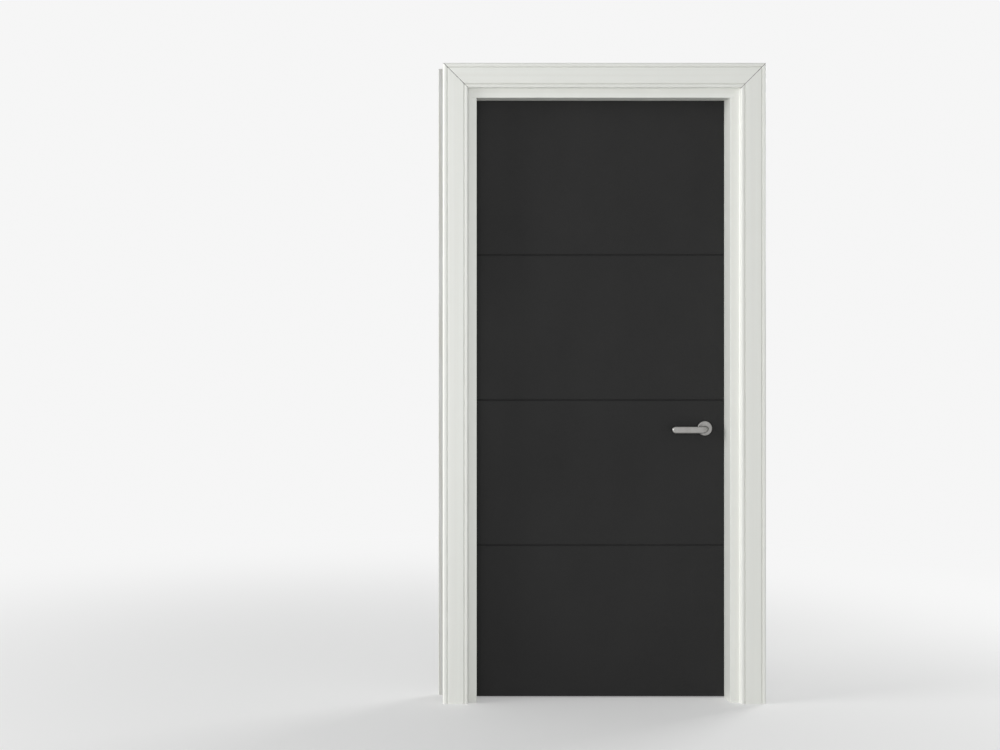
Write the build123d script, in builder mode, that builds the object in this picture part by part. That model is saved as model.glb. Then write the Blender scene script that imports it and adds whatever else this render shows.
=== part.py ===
# Interior door: a flush leaf with three grooves, hung on three butt hinges in a rebated frame,
# with a lever handle, a mortice latch and a mitred architrave on both sides of the wall.
# X runs to the right along the door, Y away from the side it is pushed from, Z up.
# The origin is on the floor, in the middle of the door and of its whole depth.

import os
from math import radians, sin

from build123d import *

# Door leaf
LEAF_W = 900.0
LEAF_H = 2100.0
LEAF_T = 40.0
FACING_T = 6.0
STILE_W = 38.0
RAIL_TOP_H = 60.0
RAIL_BOTTOM_H = 80.0
LOCK_BLOCK_W = 110.0
LOCK_BLOCK_H = 260.0
LEAF_ARRIS_R = 1.0

# Grooves across both faces of the leaf
GROOVE_COUNT = 3
GROOVE_FIRST_H = 530.0
GROOVE_PITCH = 509.0
GROOVE_W = 7.0
GROOVE_BOTTOM_W = 3.0
GROOVE_D = 3.0
GROOVE_ARRIS_R = 0.6

# Running gaps round the leaf
SIDE_GAP = 3.0
HEAD_GAP = 3.0
FLOOR_GAP = 5.0
STOP_GAP = 1.0
LEAF_SETBACK = 1.0

# Lining, which is the frame the leaf hangs in
LINING_D = 120.0
LINING_T = 31.0
STOP_PROJECTION = 14.0
HOUSING_D = 10.0
LINING_ARRIS_R = 1.2

# Screws that hold the head of the lining on its legs
HEAD_SCREW_L = 90.0
HEAD_SCREW_D = 5.0
HEAD_SCREW_HEAD_D = 10.0
HEAD_SCREW_SPACING = 60.0

# Holes in the rebate for the wall fixings
FIXING_COUNT = 4
FIXING_FIRST_Z = 120.0
FIXING_TOP_DROP = 35.0
FIXING_D = 6.5
FIXING_SINK_D = 13.0

# Architrave
ARCHITRAVE_W = 85.0
ARCHITRAVE_T = 22.0
ARCHITRAVE_MARGIN = 19.0
INNER_BEAD_W = 10.5
OUTER_BEAD_W = 12.0
QUIRK_W = 4.5
QUIRK_D = 3.5
INNER_ARRIS_R = 3.0
OUTER_ARRIS_R = 5.0
BEAD_R = 2.5
QUIRK_ARRIS_R = 0.8
RELIEF_D = 1.5
RELIEF_FROM_INNER = 14.0
RELIEF_FROM_OUTER = 18.0

# Cross recess of a screw, as shares of its head
RECESS_SPAN_SHARE = 0.55
RECESS_WIDTH_SHARE = 0.16
RECESS_DEPTH_SHARE = 0.17

# Butt hinges
HINGE_H = 100.0
HINGE_PLATE_W = 30.0
HINGE_PLATE_T = 2.5
HINGE_CORNER_R = 8.0
HINGE_LOW_H = 250.0
HINGE_TOP_DROP = 180.0
BARREL_D = 12.0
BARREL_STANDOFF = 0.5
KNUCKLES = 5
KNUCKLE_GAP = 0.3
BARREL_CLEARANCE = 0.5
HINGE_PIN_D = 6.0
HINGE_PIN_CLEARANCE = 0.15
HINGE_TIP_D = 9.0
HINGE_TIP_H = 2.5
HINGE_SCREWS = 4
HINGE_SCREW_PITCH = 24.0
HINGE_SCREW_EDGE = 9.0
HINGE_SCREW_STAGGER = 9.0
HINGE_SCREW_L = 28.0
HINGE_SCREW_D = 4.0
HINGE_SCREW_HEAD_D = 8.0
HINGE_SCREW_HEAD_H = 2.2

# Handle position
HANDLE_H = 940.0
BACKSET = 80.0
LEVER_TURN = 40.0

# Latch case
CASE_T = 14.0
CASE_WALL = 1.5
CASE_ABOVE = 34.0
CASE_BELOW = 32.0
CASE_BACK = 28.0
CASE_CORNER_R = 4.0
CASE_FIT = 0.3
POST_D = 5.0
RIVET_D = 3.0
POST_INSET = 6.0
LINER_GAP = 0.2

# Forend of the latch, let into the edge of the leaf
FOREND_W = 22.0
FOREND_H = 120.0
FOREND_T = 3.0
FOREND_SCREW_INSET = 10.0
SMALL_SCREW_L = 22.0
SMALL_SCREW_D = 3.5
SMALL_SCREW_HEAD_D = 7.0
SMALL_SCREW_HEAD_H = 1.4

# Latch bolt
BOLT_THROW = 12.0
BOLT_H = 16.0
BOLT_NOSE_W = 2.5
BOLT_HEAD_L = 32.0
BOLT_CLEARANCE = 0.3
BOLT_ROD_D = 6.0
BOLT_BAR_W = 8.0
BOLT_BAR_H = 10.5
BOLT_BAR_CLEARANCE = 0.75
BOLT_HOOK_L = 5.5

# Follower that the spindle turns
FOLLOWER_D = 20.0
FOLLOWER_BOSS_D = 14.0
FOLLOWER_ARM_W = 4.0
FOLLOWER_ARM_T = 3.0
FOLLOWER_PLAY = 0.6
TURN_CLEARANCE = 0.3

# Bolt spring and the lug it bears on
LUG_T = 2.5
LUG_X = 18.0
LUG_MARGIN = 4.0
SPRING_WIRE_D = 1.0
SPRING_COIL_D = 8.4
SPRING_TURNS = 6

# Strike plate and dust box in the lock leg of the lining
STRIKE_T = 1.5
STRIKE_H = 64.0
STRIKE_W = 34.0
STRIKE_LIP_R = 4.0
STRIKE_CORNER_R = 6.0
STRIKE_SCREW_INSET = 7.0
STRIKE_HOLE_FIT = 0.6
STRIKE_HOLE_CORNER_R = 1.0
DUST_BOX_WALL = 1.0
DUST_BOX_D = 16.0
DUST_BOX_MARGIN = 1.5

# Spindle and its bore
SPINDLE_S = 8.0
SPINDLE_FIT = 0.1
SPINDLE_REACH = 28.0
SPINDLE_HOLE_D = 19.0

# Rose, the round plate behind each lever
ROSE_D = 51.0
ROSE_H = 9.0
ROSE_WALL = 1.2
ROSE_EDGE_R = 2.2
ROSE_FIT = 0.3
BOLT_CENTRES = 38.0
SLEEVE_D = 5.0
SLEEVE_CLEARANCE = 0.4
MALE_BOLT_D = 3.0
MALE_BOLT_ENGAGED = 14.0
SLEEVE_GAP = 1.0
BOLT_HEAD_D = 8.0
BOLT_HEAD_H = 2.0

# Return spring in each rose
RETURN_WIRE_D = 1.6
RETURN_RING_D = 25.0
RETURN_GAP_ANGLE = 110.0
RETURN_SEAT = 0.15
RETURN_CLEARANCE = 1.3

# Lever
LEVER_L = 124.0
LEVER_PROJECTION = 50.0
LEVER_GRIP_H = 24.0
LEVER_GRIP_T = 11.0
LEVER_GRIP_EDGE_R = 4.6
LEVER_JOURNAL_D = 17.5
LEVER_JOURNAL_STANDOFF = 1.5
LEVER_NECK_W = 17.0
LEVER_NECK_CORNER_R = 8.0
LEVER_BEND_R = 20.0
LEVER_DROP = 3.5
LEVER_BEND_SECTIONS = 6
LEVER_SEAT = 0.4
LEVER_FLANGE_D = 23.6
LEVER_FLANGE_H = 1.6
GRUB_D = 5.0
GRUB_STANDOFF = 4.5
GRUB_RECESS = 0.6
GRUB_SOCKET_D = 2.4
GRUB_SOCKET_DEPTH = 1.8

# Places worked out from the sizes above
DEPTH_TO_LEVER_BACK = LINING_D - LEAF_SETBACK + LEVER_PROJECTION
LINING_FRONT_Y = (ARCHITRAVE_T - DEPTH_TO_LEVER_BACK) / 2
LINING_BACK_Y = LINING_FRONT_Y + LINING_D
LINING_MID_Y = (LINING_FRONT_Y + LINING_BACK_Y) / 2
LEAF_BACK_Y = LINING_BACK_Y - LEAF_SETBACK
LEAF_FRONT_Y = LEAF_BACK_Y - LEAF_T
LEAF_MID_Y = (LEAF_FRONT_Y + LEAF_BACK_Y) / 2
SHOULDER_Y = LEAF_FRONT_Y - STOP_GAP
REBATE_MID_Y = (SHOULDER_Y + LINING_BACK_Y) / 2

LEAF_EDGE_X = LEAF_W / 2
REBATE_X = LEAF_EDGE_X + SIDE_GAP
STOP_X = REBATE_X - STOP_PROJECTION
LINING_OUTER_X = REBATE_X + LINING_T
CASING_X = REBATE_X + ARCHITRAVE_MARGIN
PIN_X = -(LEAF_EDGE_X + SIDE_GAP / 2)
PIN_Y = LEAF_BACK_Y + BARREL_STANDOFF + BARREL_D / 2
PLATE_EDGE_Y = LEAF_BACK_Y - HINGE_PLATE_W

LEAF_BOTTOM_Z = FLOOR_GAP
LEAF_TOP_Z = LEAF_BOTTOM_Z + LEAF_H
REBATE_Z = LEAF_TOP_Z + HEAD_GAP
STOP_Z = REBATE_Z - STOP_PROJECTION
LINING_TOP_Z = REBATE_Z + LINING_T
LEG_TOP_Z = REBATE_Z + HOUSING_D
CASING_Z = REBATE_Z + ARCHITRAVE_MARGIN
CASING_TOP_Z = CASING_Z + ARCHITRAVE_W
FIXING_PITCH = (LEAF_TOP_Z - FIXING_TOP_DROP - FIXING_FIRST_Z) / (FIXING_COUNT - 1)
GROOVE_ZS = [LEAF_BOTTOM_Z + GROOVE_FIRST_H + GROOVE_PITCH * i for i in range(GROOVE_COUNT)]

HINGE_LOW_Z = LEAF_BOTTOM_Z + HINGE_LOW_H
HINGE_TOP_Z = LEAF_TOP_Z - HINGE_TOP_DROP
HINGE_PLACES = {
    "low": HINGE_LOW_Z,
    "mid": (HINGE_LOW_Z + HINGE_TOP_Z) / 2,
    "top": HINGE_TOP_Z,
}
KNUCKLE_L = (HINGE_H - (KNUCKLES - 1) * KNUCKLE_GAP) / KNUCKLES

SPINDLE_X = LEAF_EDGE_X - BACKSET
SPINDLE_Z = LEAF_BOTTOM_Z + HANDLE_H
BOLT_RISE = FOLLOWER_D / 2 + BOLT_BAR_CLEARANCE + BOLT_BAR_H / 2
BOLT_Z = SPINDLE_Z + BOLT_RISE
FOLLOWER_ARM_R = BOLT_THROW / sin(radians(LEVER_TURN))
INNER_T = CASE_T - 2 * CASE_WALL
BOLT_W = INNER_T - 2 * BOLT_CLEARANCE
CORE_T = LEAF_T - 2 * FACING_T
CASE_MID_Z = SPINDLE_Z + (CASE_ABOVE - CASE_BELOW) / 2
RETURN_RISE = LEVER_SEAT + LEVER_FLANGE_H + RETURN_SEAT + RETURN_WIRE_D / 2
ROSE_POCKET_D = RETURN_RING_D + RETURN_WIRE_D + 2 * RETURN_CLEARANCE
ROSE_POCKET_H = RETURN_RISE + RETURN_WIRE_D / 2 + RETURN_SEAT
GRUB_RISE = ROSE_H + GRUB_STANDOFF

# Planes that the sub-parts are drawn on
LEAF_MID_PLANE = Plane(origin=(0, LEAF_MID_Y, 0), z_dir=(0, 1, 0))
WALL_MID_PLANE = Plane(origin=(0, LINING_MID_Y, 0), z_dir=(0, 1, 0))
FRONT_HANDLE = Plane(origin=(SPINDLE_X, LEAF_FRONT_Y, SPINDLE_Z), x_dir=(1, 0, 0), z_dir=(0, -1, 0))
LATCH_PLANE = Plane(origin=(SPINDLE_X, LEAF_MID_Y, SPINDLE_Z), x_dir=(1, 0, 0), z_dir=(0, -1, 0))

os.makedirs("parts", exist_ok=True)


def countersunk_screw(length, diameter, head_d, head_h):
    """A countersunk screw along -Z, with the top of its head in the plane Z = 0."""
    with BuildPart(mode=Mode.PRIVATE) as screw:
        with BuildSketch(Plane.XZ):
            with BuildLine():
                Polyline(
                    (0, 0),
                    (head_d / 2, 0),
                    (diameter / 2, -head_h),
                    (diameter / 2, diameter - length),
                    (0, -length),
                    close=True,
                )
            make_face()
        revolve(axis=Axis.Z)
    return screw.part


def cross_recess(head_d):
    """The cross that a screwdriver fits, from the plane Z = 0 down into a head of this diameter."""
    with BuildPart(mode=Mode.PRIVATE) as recess:
        with BuildSketch():
            Rectangle(RECESS_SPAN_SHARE * head_d, RECESS_WIDTH_SHARE * head_d)
            Rectangle(RECESS_WIDTH_SHARE * head_d, RECESS_SPAN_SHARE * head_d)
        extrude(amount=-RECESS_DEPTH_SHARE * head_d)
    return recess.part


def placed(part, planes):
    """Copies of a part, one on each plane."""
    with BuildPart(mode=Mode.PRIVATE) as copies:
        with Locations(*planes):
            add(part)
    return copies.part


# Screws. Each group is drawn plain first, which also cuts its holes, and then gets its recesses.

# Hinge screws: four in each plate, staggered in two rows
hinge_screw = countersunk_screw(HINGE_SCREW_L, HINGE_SCREW_D, HINGE_SCREW_HEAD_D, HINGE_SCREW_HEAD_H)
hinge_recess = cross_recess(HINGE_SCREW_HEAD_D)


def hinge_screw_places(face_x, z_dir):
    """The planes of the screws of all three hinges, on the hinge plates' outer faces."""
    planes = []
    for hinge_z in HINGE_PLACES.values():
        for i in range(HINGE_SCREWS):
            y = PLATE_EDGE_Y + HINGE_SCREW_EDGE + HINGE_SCREW_STAGGER * (i % 2)
            z = hinge_z + HINGE_SCREW_PITCH * (i - (HINGE_SCREWS - 1) / 2)
            planes.append(Plane(origin=(face_x, y, z), x_dir=(0, 1, 0), z_dir=z_dir))
    return planes


frame_screw_places = hinge_screw_places(-REBATE_X, (1, 0, 0))
hinge_frame_holes = placed(hinge_screw, frame_screw_places)
with BuildPart() as hinge_frame_screws:
    add(hinge_frame_holes)
    add(placed(hinge_recess, frame_screw_places), mode=Mode.SUBTRACT)
hinge_frame_screws.part.label = "hinge_frame_screws"
export_step(hinge_frame_screws.part, "parts/hinge_frame_screws.step")

leaf_screw_places = hinge_screw_places(-LEAF_EDGE_X, (-1, 0, 0))
hinge_leaf_holes = placed(hinge_screw, leaf_screw_places)
with BuildPart() as hinge_leaf_screws:
    add(hinge_leaf_holes)
    add(placed(hinge_recess, leaf_screw_places), mode=Mode.SUBTRACT)
hinge_leaf_screws.part.label = "hinge_leaf_screws"
export_step(hinge_leaf_screws.part, "parts/hinge_leaf_screws.step")

# Screws down through the head of the lining into its legs, two at each end
HEAD_SCREW_X = (REBATE_X + LINING_OUTER_X) / 2
head_screw = countersunk_screw(
    HEAD_SCREW_L, HEAD_SCREW_D, HEAD_SCREW_HEAD_D, (HEAD_SCREW_HEAD_D - HEAD_SCREW_D) / 2
)
head_screw_places = [
    Plane(origin=(x, LINING_MID_Y + y, LINING_TOP_Z))
    for x in (-HEAD_SCREW_X, HEAD_SCREW_X)
    for y in (-HEAD_SCREW_SPACING / 2, HEAD_SCREW_SPACING / 2)
]
head_screw_holes = placed(head_screw, head_screw_places)
with BuildPart() as head_screws:
    add(head_screw_holes)
    add(placed(cross_recess(HEAD_SCREW_HEAD_D), head_screw_places), mode=Mode.SUBTRACT)
head_screws.part.label = "head_screws"
export_step(head_screws.part, "parts/head_screws.step")

# Screws of the forend and of the strike plate
small_screw = countersunk_screw(SMALL_SCREW_L, SMALL_SCREW_D, SMALL_SCREW_HEAD_D, SMALL_SCREW_HEAD_H)
small_recess = cross_recess(SMALL_SCREW_HEAD_D)
FOREND_SCREW_RISE = FOREND_H / 2 - FOREND_SCREW_INSET
forend_screw_places = [
    Plane(origin=(LEAF_EDGE_X, LEAF_MID_Y, z), x_dir=(0, 1, 0), z_dir=(1, 0, 0))
    for z in (CASE_MID_Z - FOREND_SCREW_RISE, CASE_MID_Z + FOREND_SCREW_RISE)
]
forend_screw_holes = placed(small_screw, forend_screw_places)
with BuildPart() as forend_screws:
    add(forend_screw_holes)
    add(placed(small_recess, forend_screw_places), mode=Mode.SUBTRACT)
forend_screws.part.label = "forend_screws"
export_step(forend_screws.part, "parts/forend_screws.step")

STRIKE_SCREW_RISE = STRIKE_H / 2 - STRIKE_SCREW_INSET
strike_screw_places = [
    Plane(origin=(REBATE_X, LEAF_MID_Y, z), x_dir=(0, 1, 0), z_dir=(-1, 0, 0))
    for z in (BOLT_Z - STRIKE_SCREW_RISE, BOLT_Z + STRIKE_SCREW_RISE)
]
strike_screw_holes = placed(small_screw, strike_screw_places)
with BuildPart() as strike_screws:
    add(strike_screw_holes)
    add(placed(small_recess, strike_screw_places), mode=Mode.SUBTRACT)
strike_screws.part.label = "strike_screws"
export_step(strike_screws.part, "parts/strike_screws.step")

# Strike plate: a flat plate whose lip turns round the back arris of the lining
STRIKE_FRONT_Y = LINING_BACK_Y - STRIKE_W
LIP_CENTRE = (REBATE_X + STRIKE_LIP_R, LINING_BACK_Y - STRIKE_LIP_R)


def strike_blank(thickness):
    """The strike plate before its hole, or the seat for it when it is drawn solid at the corner."""
    with BuildPart(mode=Mode.PRIVATE) as blank:
        with BuildSketch(Plane.XY.offset(BOLT_Z - STRIKE_H / 2)):
            with Locations((REBATE_X, STRIKE_FRONT_Y)):
                Rectangle(thickness, STRIKE_W - STRIKE_LIP_R, align=Align.MIN)
            with BuildLine():
                CenterArc(LIP_CENTRE, STRIKE_LIP_R, 90, 90)
                Line(
                    (REBATE_X, LIP_CENTRE[1]),
                    (REBATE_X + thickness, LIP_CENTRE[1]),
                )
                CenterArc(LIP_CENTRE, STRIKE_LIP_R - thickness, 90, 90)
                Line(
                    (LIP_CENTRE[0], LINING_BACK_Y - thickness),
                    (LIP_CENTRE[0], LINING_BACK_Y),
                )
            make_face()
        extrude(amount=STRIKE_H)
        flat_corners = blank.edges().filter_by(Axis.X).group_by(Axis.Y)[0]
        fillet(flat_corners, STRIKE_CORNER_R)
    return blank.part


strike_plate_blank = strike_blank(STRIKE_T)
with BuildPart() as strike_plate:
    add(strike_plate_blank)
    with BuildSketch(Plane(origin=(REBATE_X, 0, BOLT_Z), x_dir=(0, 1, 0), z_dir=(1, 0, 0))):
        with Locations((LEAF_MID_Y, 0)):
            RectangleRounded(
                BOLT_W + 2 * STRIKE_HOLE_FIT,
                BOLT_H + 2 * STRIKE_HOLE_FIT,
                STRIKE_HOLE_CORNER_R,
            )
    extrude(amount=STRIKE_T, mode=Mode.SUBTRACT)
    add(strike_screw_holes, mode=Mode.SUBTRACT)
strike_plate.part.label = "strike_plate"
export_step(strike_plate.part, "parts/strike_plate.step")

# Dust box behind the strike plate, open towards the leaf
DUST_INNER_W = BOLT_W + 2 * DUST_BOX_MARGIN
DUST_INNER_H = BOLT_H + 2 * DUST_BOX_MARGIN
dust_plane = Plane(
    origin=(REBATE_X + STRIKE_T, LEAF_MID_Y, BOLT_Z), x_dir=(0, 1, 0), z_dir=(1, 0, 0)
)
with BuildPart() as dust_box:
    with BuildSketch(dust_plane):
        Rectangle(DUST_INNER_W + 2 * DUST_BOX_WALL, DUST_INNER_H + 2 * DUST_BOX_WALL)
    extrude(amount=DUST_BOX_D)
    with BuildSketch(dust_plane):
        Rectangle(DUST_INNER_W, DUST_INNER_H)
    extrude(amount=DUST_BOX_D - DUST_BOX_WALL, mode=Mode.SUBTRACT)
dust_box.part.label = "dust_box"
export_step(dust_box.part, "parts/dust_box.step")

# Lining: two rebated legs, and a head housed over them
with BuildPart() as leg_blank:
    with BuildSketch() as leg_section:
        with BuildLine():
            Polyline(
                (STOP_X, LINING_FRONT_Y),
                (LINING_OUTER_X, LINING_FRONT_Y),
                (LINING_OUTER_X, LINING_BACK_Y),
                (REBATE_X, LINING_BACK_Y),
                (REBATE_X, SHOULDER_Y),
                (STOP_X, SHOULDER_Y),
                close=True,
            )
        make_face()
        stop_corners = leg_section.vertices().group_by(Axis.X)[0]
        rebate_corner = leg_section.vertices().sort_by_distance((REBATE_X, LINING_BACK_Y))[0:1]
        fillet(stop_corners + rebate_corner, LINING_ARRIS_R)
    extrude(amount=LEG_TOP_Z)
    # The stop ends under the stop of the head
    with BuildSketch(Plane.XY.offset(STOP_Z)):
        with Locations((STOP_X, LINING_FRONT_Y)):
            Rectangle(STOP_PROJECTION, LINING_D, align=Align.MIN)
    extrude(amount=LEG_TOP_Z - STOP_Z, mode=Mode.SUBTRACT)
    fixings = [
        Plane(
            origin=(REBATE_X, REBATE_MID_Y, FIXING_FIRST_Z + FIXING_PITCH * i),
            x_dir=(0, 1, 0),
            z_dir=(-1, 0, 0),
        )
        for i in range(FIXING_COUNT)
    ]
    with Locations(*fixings):
        CounterSinkHole(FIXING_D / 2, FIXING_SINK_D / 2, LINING_T)
    add(head_screw_holes, mode=Mode.SUBTRACT)

with BuildPart() as lining_leg_lock:
    add(leg_blank.part)
    # Seat of the strike plate, with the arris outside its lip taken off
    with BuildSketch(Plane.XY.offset(BOLT_Z - STRIKE_H / 2)):
        with Locations((REBATE_X, LINING_BACK_Y)):
            Rectangle(STRIKE_LIP_R, STRIKE_LIP_R, align=(Align.MIN, Align.MAX))
        with Locations(LIP_CENTRE):
            Circle(STRIKE_LIP_R - STRIKE_T, mode=Mode.SUBTRACT)
    extrude(amount=STRIKE_H, mode=Mode.SUBTRACT)
    add(strike_plate_blank, mode=Mode.SUBTRACT)
    # Mortice for the dust box
    with BuildSketch(dust_plane):
        Rectangle(DUST_INNER_W + 2 * DUST_BOX_WALL, DUST_INNER_H + 2 * DUST_BOX_WALL)
    extrude(amount=DUST_BOX_D, mode=Mode.SUBTRACT)
    add(strike_screw_holes, mode=Mode.SUBTRACT)
lining_leg_lock.part.label = "lining_leg_lock"
export_step(lining_leg_lock.part, "parts/lining_leg_lock.step")


def hinge_plate(hinge_z, face_x, into_x, edge_fit):
    """A hinge plate, or its seat: from face_x by its thickness towards into_x."""
    with BuildPart(mode=Mode.PRIVATE) as plate:
        with BuildSketch(Plane(origin=(face_x, 0, hinge_z), x_dir=(0, 1, 0), z_dir=(1, 0, 0))) as outline:
            with Locations((PLATE_EDGE_Y, 0)):
                Rectangle(PIN_Y - PLATE_EDGE_Y + edge_fit, HINGE_H, align=(Align.MIN, Align.CENTER))
            fillet(outline.vertices().group_by(Axis.X)[0], HINGE_CORNER_R)
        extrude(amount=HINGE_PLATE_T * into_x)
    return plate.part


with BuildPart() as lining_leg_hinge:
    add(mirror(leg_blank.part, about=Plane.YZ))
    for hinge_z in HINGE_PLACES.values():
        add(hinge_plate(hinge_z, -REBATE_X, -1, 0), mode=Mode.SUBTRACT)
    add(hinge_frame_holes, mode=Mode.SUBTRACT)
lining_leg_hinge.part.label = "lining_leg_hinge"
export_step(lining_leg_hinge.part, "parts/lining_leg_hinge.step")

with BuildPart() as lining_head:
    with BuildSketch(Plane.YZ.offset(-LINING_OUTER_X)) as head_section:
        with BuildLine():
            Polyline(
                (LINING_FRONT_Y, STOP_Z),
                (LINING_FRONT_Y, LINING_TOP_Z),
                (LINING_BACK_Y, LINING_TOP_Z),
                (LINING_BACK_Y, REBATE_Z),
                (SHOULDER_Y, REBATE_Z),
                (SHOULDER_Y, STOP_Z),
                close=True,
            )
        make_face()
        stop_corners = head_section.vertices().group_by(Axis.Y)[0]
        rebate_corner = head_section.vertices().sort_by_distance((LINING_BACK_Y, REBATE_Z))[0:1]
        fillet(stop_corners + rebate_corner, LINING_ARRIS_R)
    extrude(amount=2 * LINING_OUTER_X)
    # Housings that the legs stand in
    with BuildSketch(Plane.XY.offset(STOP_Z)):
        with Locations((REBATE_X, LINING_FRONT_Y), (-LINING_OUTER_X, LINING_FRONT_Y)):
            Rectangle(LINING_T, LINING_D, align=Align.MIN)
    extrude(amount=LEG_TOP_Z - STOP_Z, mode=Mode.SUBTRACT)
    add(head_screw_holes, mode=Mode.SUBTRACT)
lining_head.part.label = "lining_head"
export_step(lining_head.part, "parts/lining_head.step")

# Architrave: one moulding with a bead along each edge, mitred at the corners


def architrave_section(plane):
    """The moulding's section: X across its width from the inner edge, Y out from the wall."""
    quirk_starts = (INNER_BEAD_W, ARCHITRAVE_W - OUTER_BEAD_W - QUIRK_W)
    with BuildSketch(plane, mode=Mode.PRIVATE) as section:
        Rectangle(ARCHITRAVE_W, ARCHITRAVE_T, align=Align.MIN)
        # Shallow relief in the back, which lets the outer edge lie tight on an uneven wall
        with Locations((RELIEF_FROM_INNER, 0)):
            Rectangle(
                ARCHITRAVE_W - RELIEF_FROM_INNER - RELIEF_FROM_OUTER,
                RELIEF_D,
                align=Align.MIN,
                mode=Mode.SUBTRACT,
            )
        for start in quirk_starts:
            with Locations((start, ARCHITRAVE_T)):
                Polygon((0, 0), (QUIRK_W, 0), (QUIRK_W / 2, -QUIRK_D), align=None, mode=Mode.SUBTRACT)
        rounded = (
            (0, INNER_ARRIS_R),
            (quirk_starts[0], BEAD_R),
            (quirk_starts[0] + QUIRK_W, QUIRK_ARRIS_R),
            (quirk_starts[1], QUIRK_ARRIS_R),
            (quirk_starts[1] + QUIRK_W, BEAD_R),
            (ARCHITRAVE_W, OUTER_ARRIS_R),
        )
        for across, radius in rounded:
            fillet(section.vertices().sort_by_distance((across, ARCHITRAVE_T))[0:1], radius)
    return section.sketch


leg_plane = Plane(origin=(CASING_X, LINING_FRONT_Y, 0), x_dir=(1, 0, 0), z_dir=(0, 0, -1))
with BuildPart() as architrave_front_right:
    extrude(architrave_section(leg_plane), amount=CASING_TOP_Z, dir=(0, 0, 1))
    split(
        bisect_by=Plane(origin=(CASING_X, 0, CASING_Z), z_dir=(-1, 0, 1)),
        keep=Keep.BOTTOM,
    )
architrave_front_right.part.label = "architrave_front_right"
export_step(architrave_front_right.part, "parts/architrave_front_right.step")

with BuildPart() as architrave_front_left:
    add(mirror(architrave_front_right.part, about=Plane.YZ))
architrave_front_left.part.label = "architrave_front_left"
export_step(architrave_front_left.part, "parts/architrave_front_left.step")

CASING_OUTER_X = CASING_X + ARCHITRAVE_W
head_plane = Plane(origin=(-CASING_OUTER_X, LINING_FRONT_Y, CASING_Z), x_dir=(0, 0, 1), z_dir=(1, 0, 0))
with BuildPart() as architrave_front_head:
    extrude(architrave_section(head_plane), amount=2 * CASING_OUTER_X, dir=(1, 0, 0))
    for side in (-1, 1):
        split(
            bisect_by=Plane(origin=(side * CASING_X, 0, CASING_Z), z_dir=(-side, 0, 1)),
            keep=Keep.TOP,
        )
architrave_front_head.part.label = "architrave_front_head"
export_step(architrave_front_head.part, "parts/architrave_front_head.step")

for front_piece, name in (
    (architrave_front_left, "architrave_back_left"),
    (architrave_front_right, "architrave_back_right"),
    (architrave_front_head, "architrave_back_head"),
):
    with BuildPart() as architrave_back:
        add(mirror(front_piece.part, about=WALL_MID_PLANE))
    architrave_back.part.label = name
    export_step(architrave_back.part, f"parts/{name}.step")

# Butt hinges: the frame plate carries the outer knuckles and the pin, the leaf plate the others


def knuckle_plane(hinge_z, i):
    """The plane at the foot of knuckle i of a hinge, on the pin's axis."""
    foot_z = hinge_z - HINGE_H / 2 + i * (KNUCKLE_L + KNUCKLE_GAP)
    return Plane(origin=(PIN_X, PIN_Y, foot_z))


def hinge_half(hinge_z, face_x, into_x, own, pin_hole_d):
    """One half of a butt hinge: its plate, its own knuckles and the hole for the pin."""
    others = [i for i in range(KNUCKLES) if i not in own]
    low = (Align.CENTER, Align.CENTER, Align.MIN)
    with BuildPart(mode=Mode.PRIVATE) as half:
        add(hinge_plate(hinge_z, face_x, into_x, 0))
        for i in others:
            with Locations(knuckle_plane(hinge_z, i).offset(-KNUCKLE_GAP)):
                Cylinder(
                    BARREL_D / 2 + BARREL_CLEARANCE,
                    KNUCKLE_L + 2 * KNUCKLE_GAP,
                    align=low,
                    mode=Mode.SUBTRACT,
                )
        for i in own:
            with Locations(knuckle_plane(hinge_z, i)):
                Cylinder(BARREL_D / 2, KNUCKLE_L, align=low)
        with Locations(knuckle_plane(hinge_z, 0)):
            Cylinder(pin_hole_d / 2, HINGE_H, align=low, mode=Mode.SUBTRACT)
    return half.part


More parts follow.
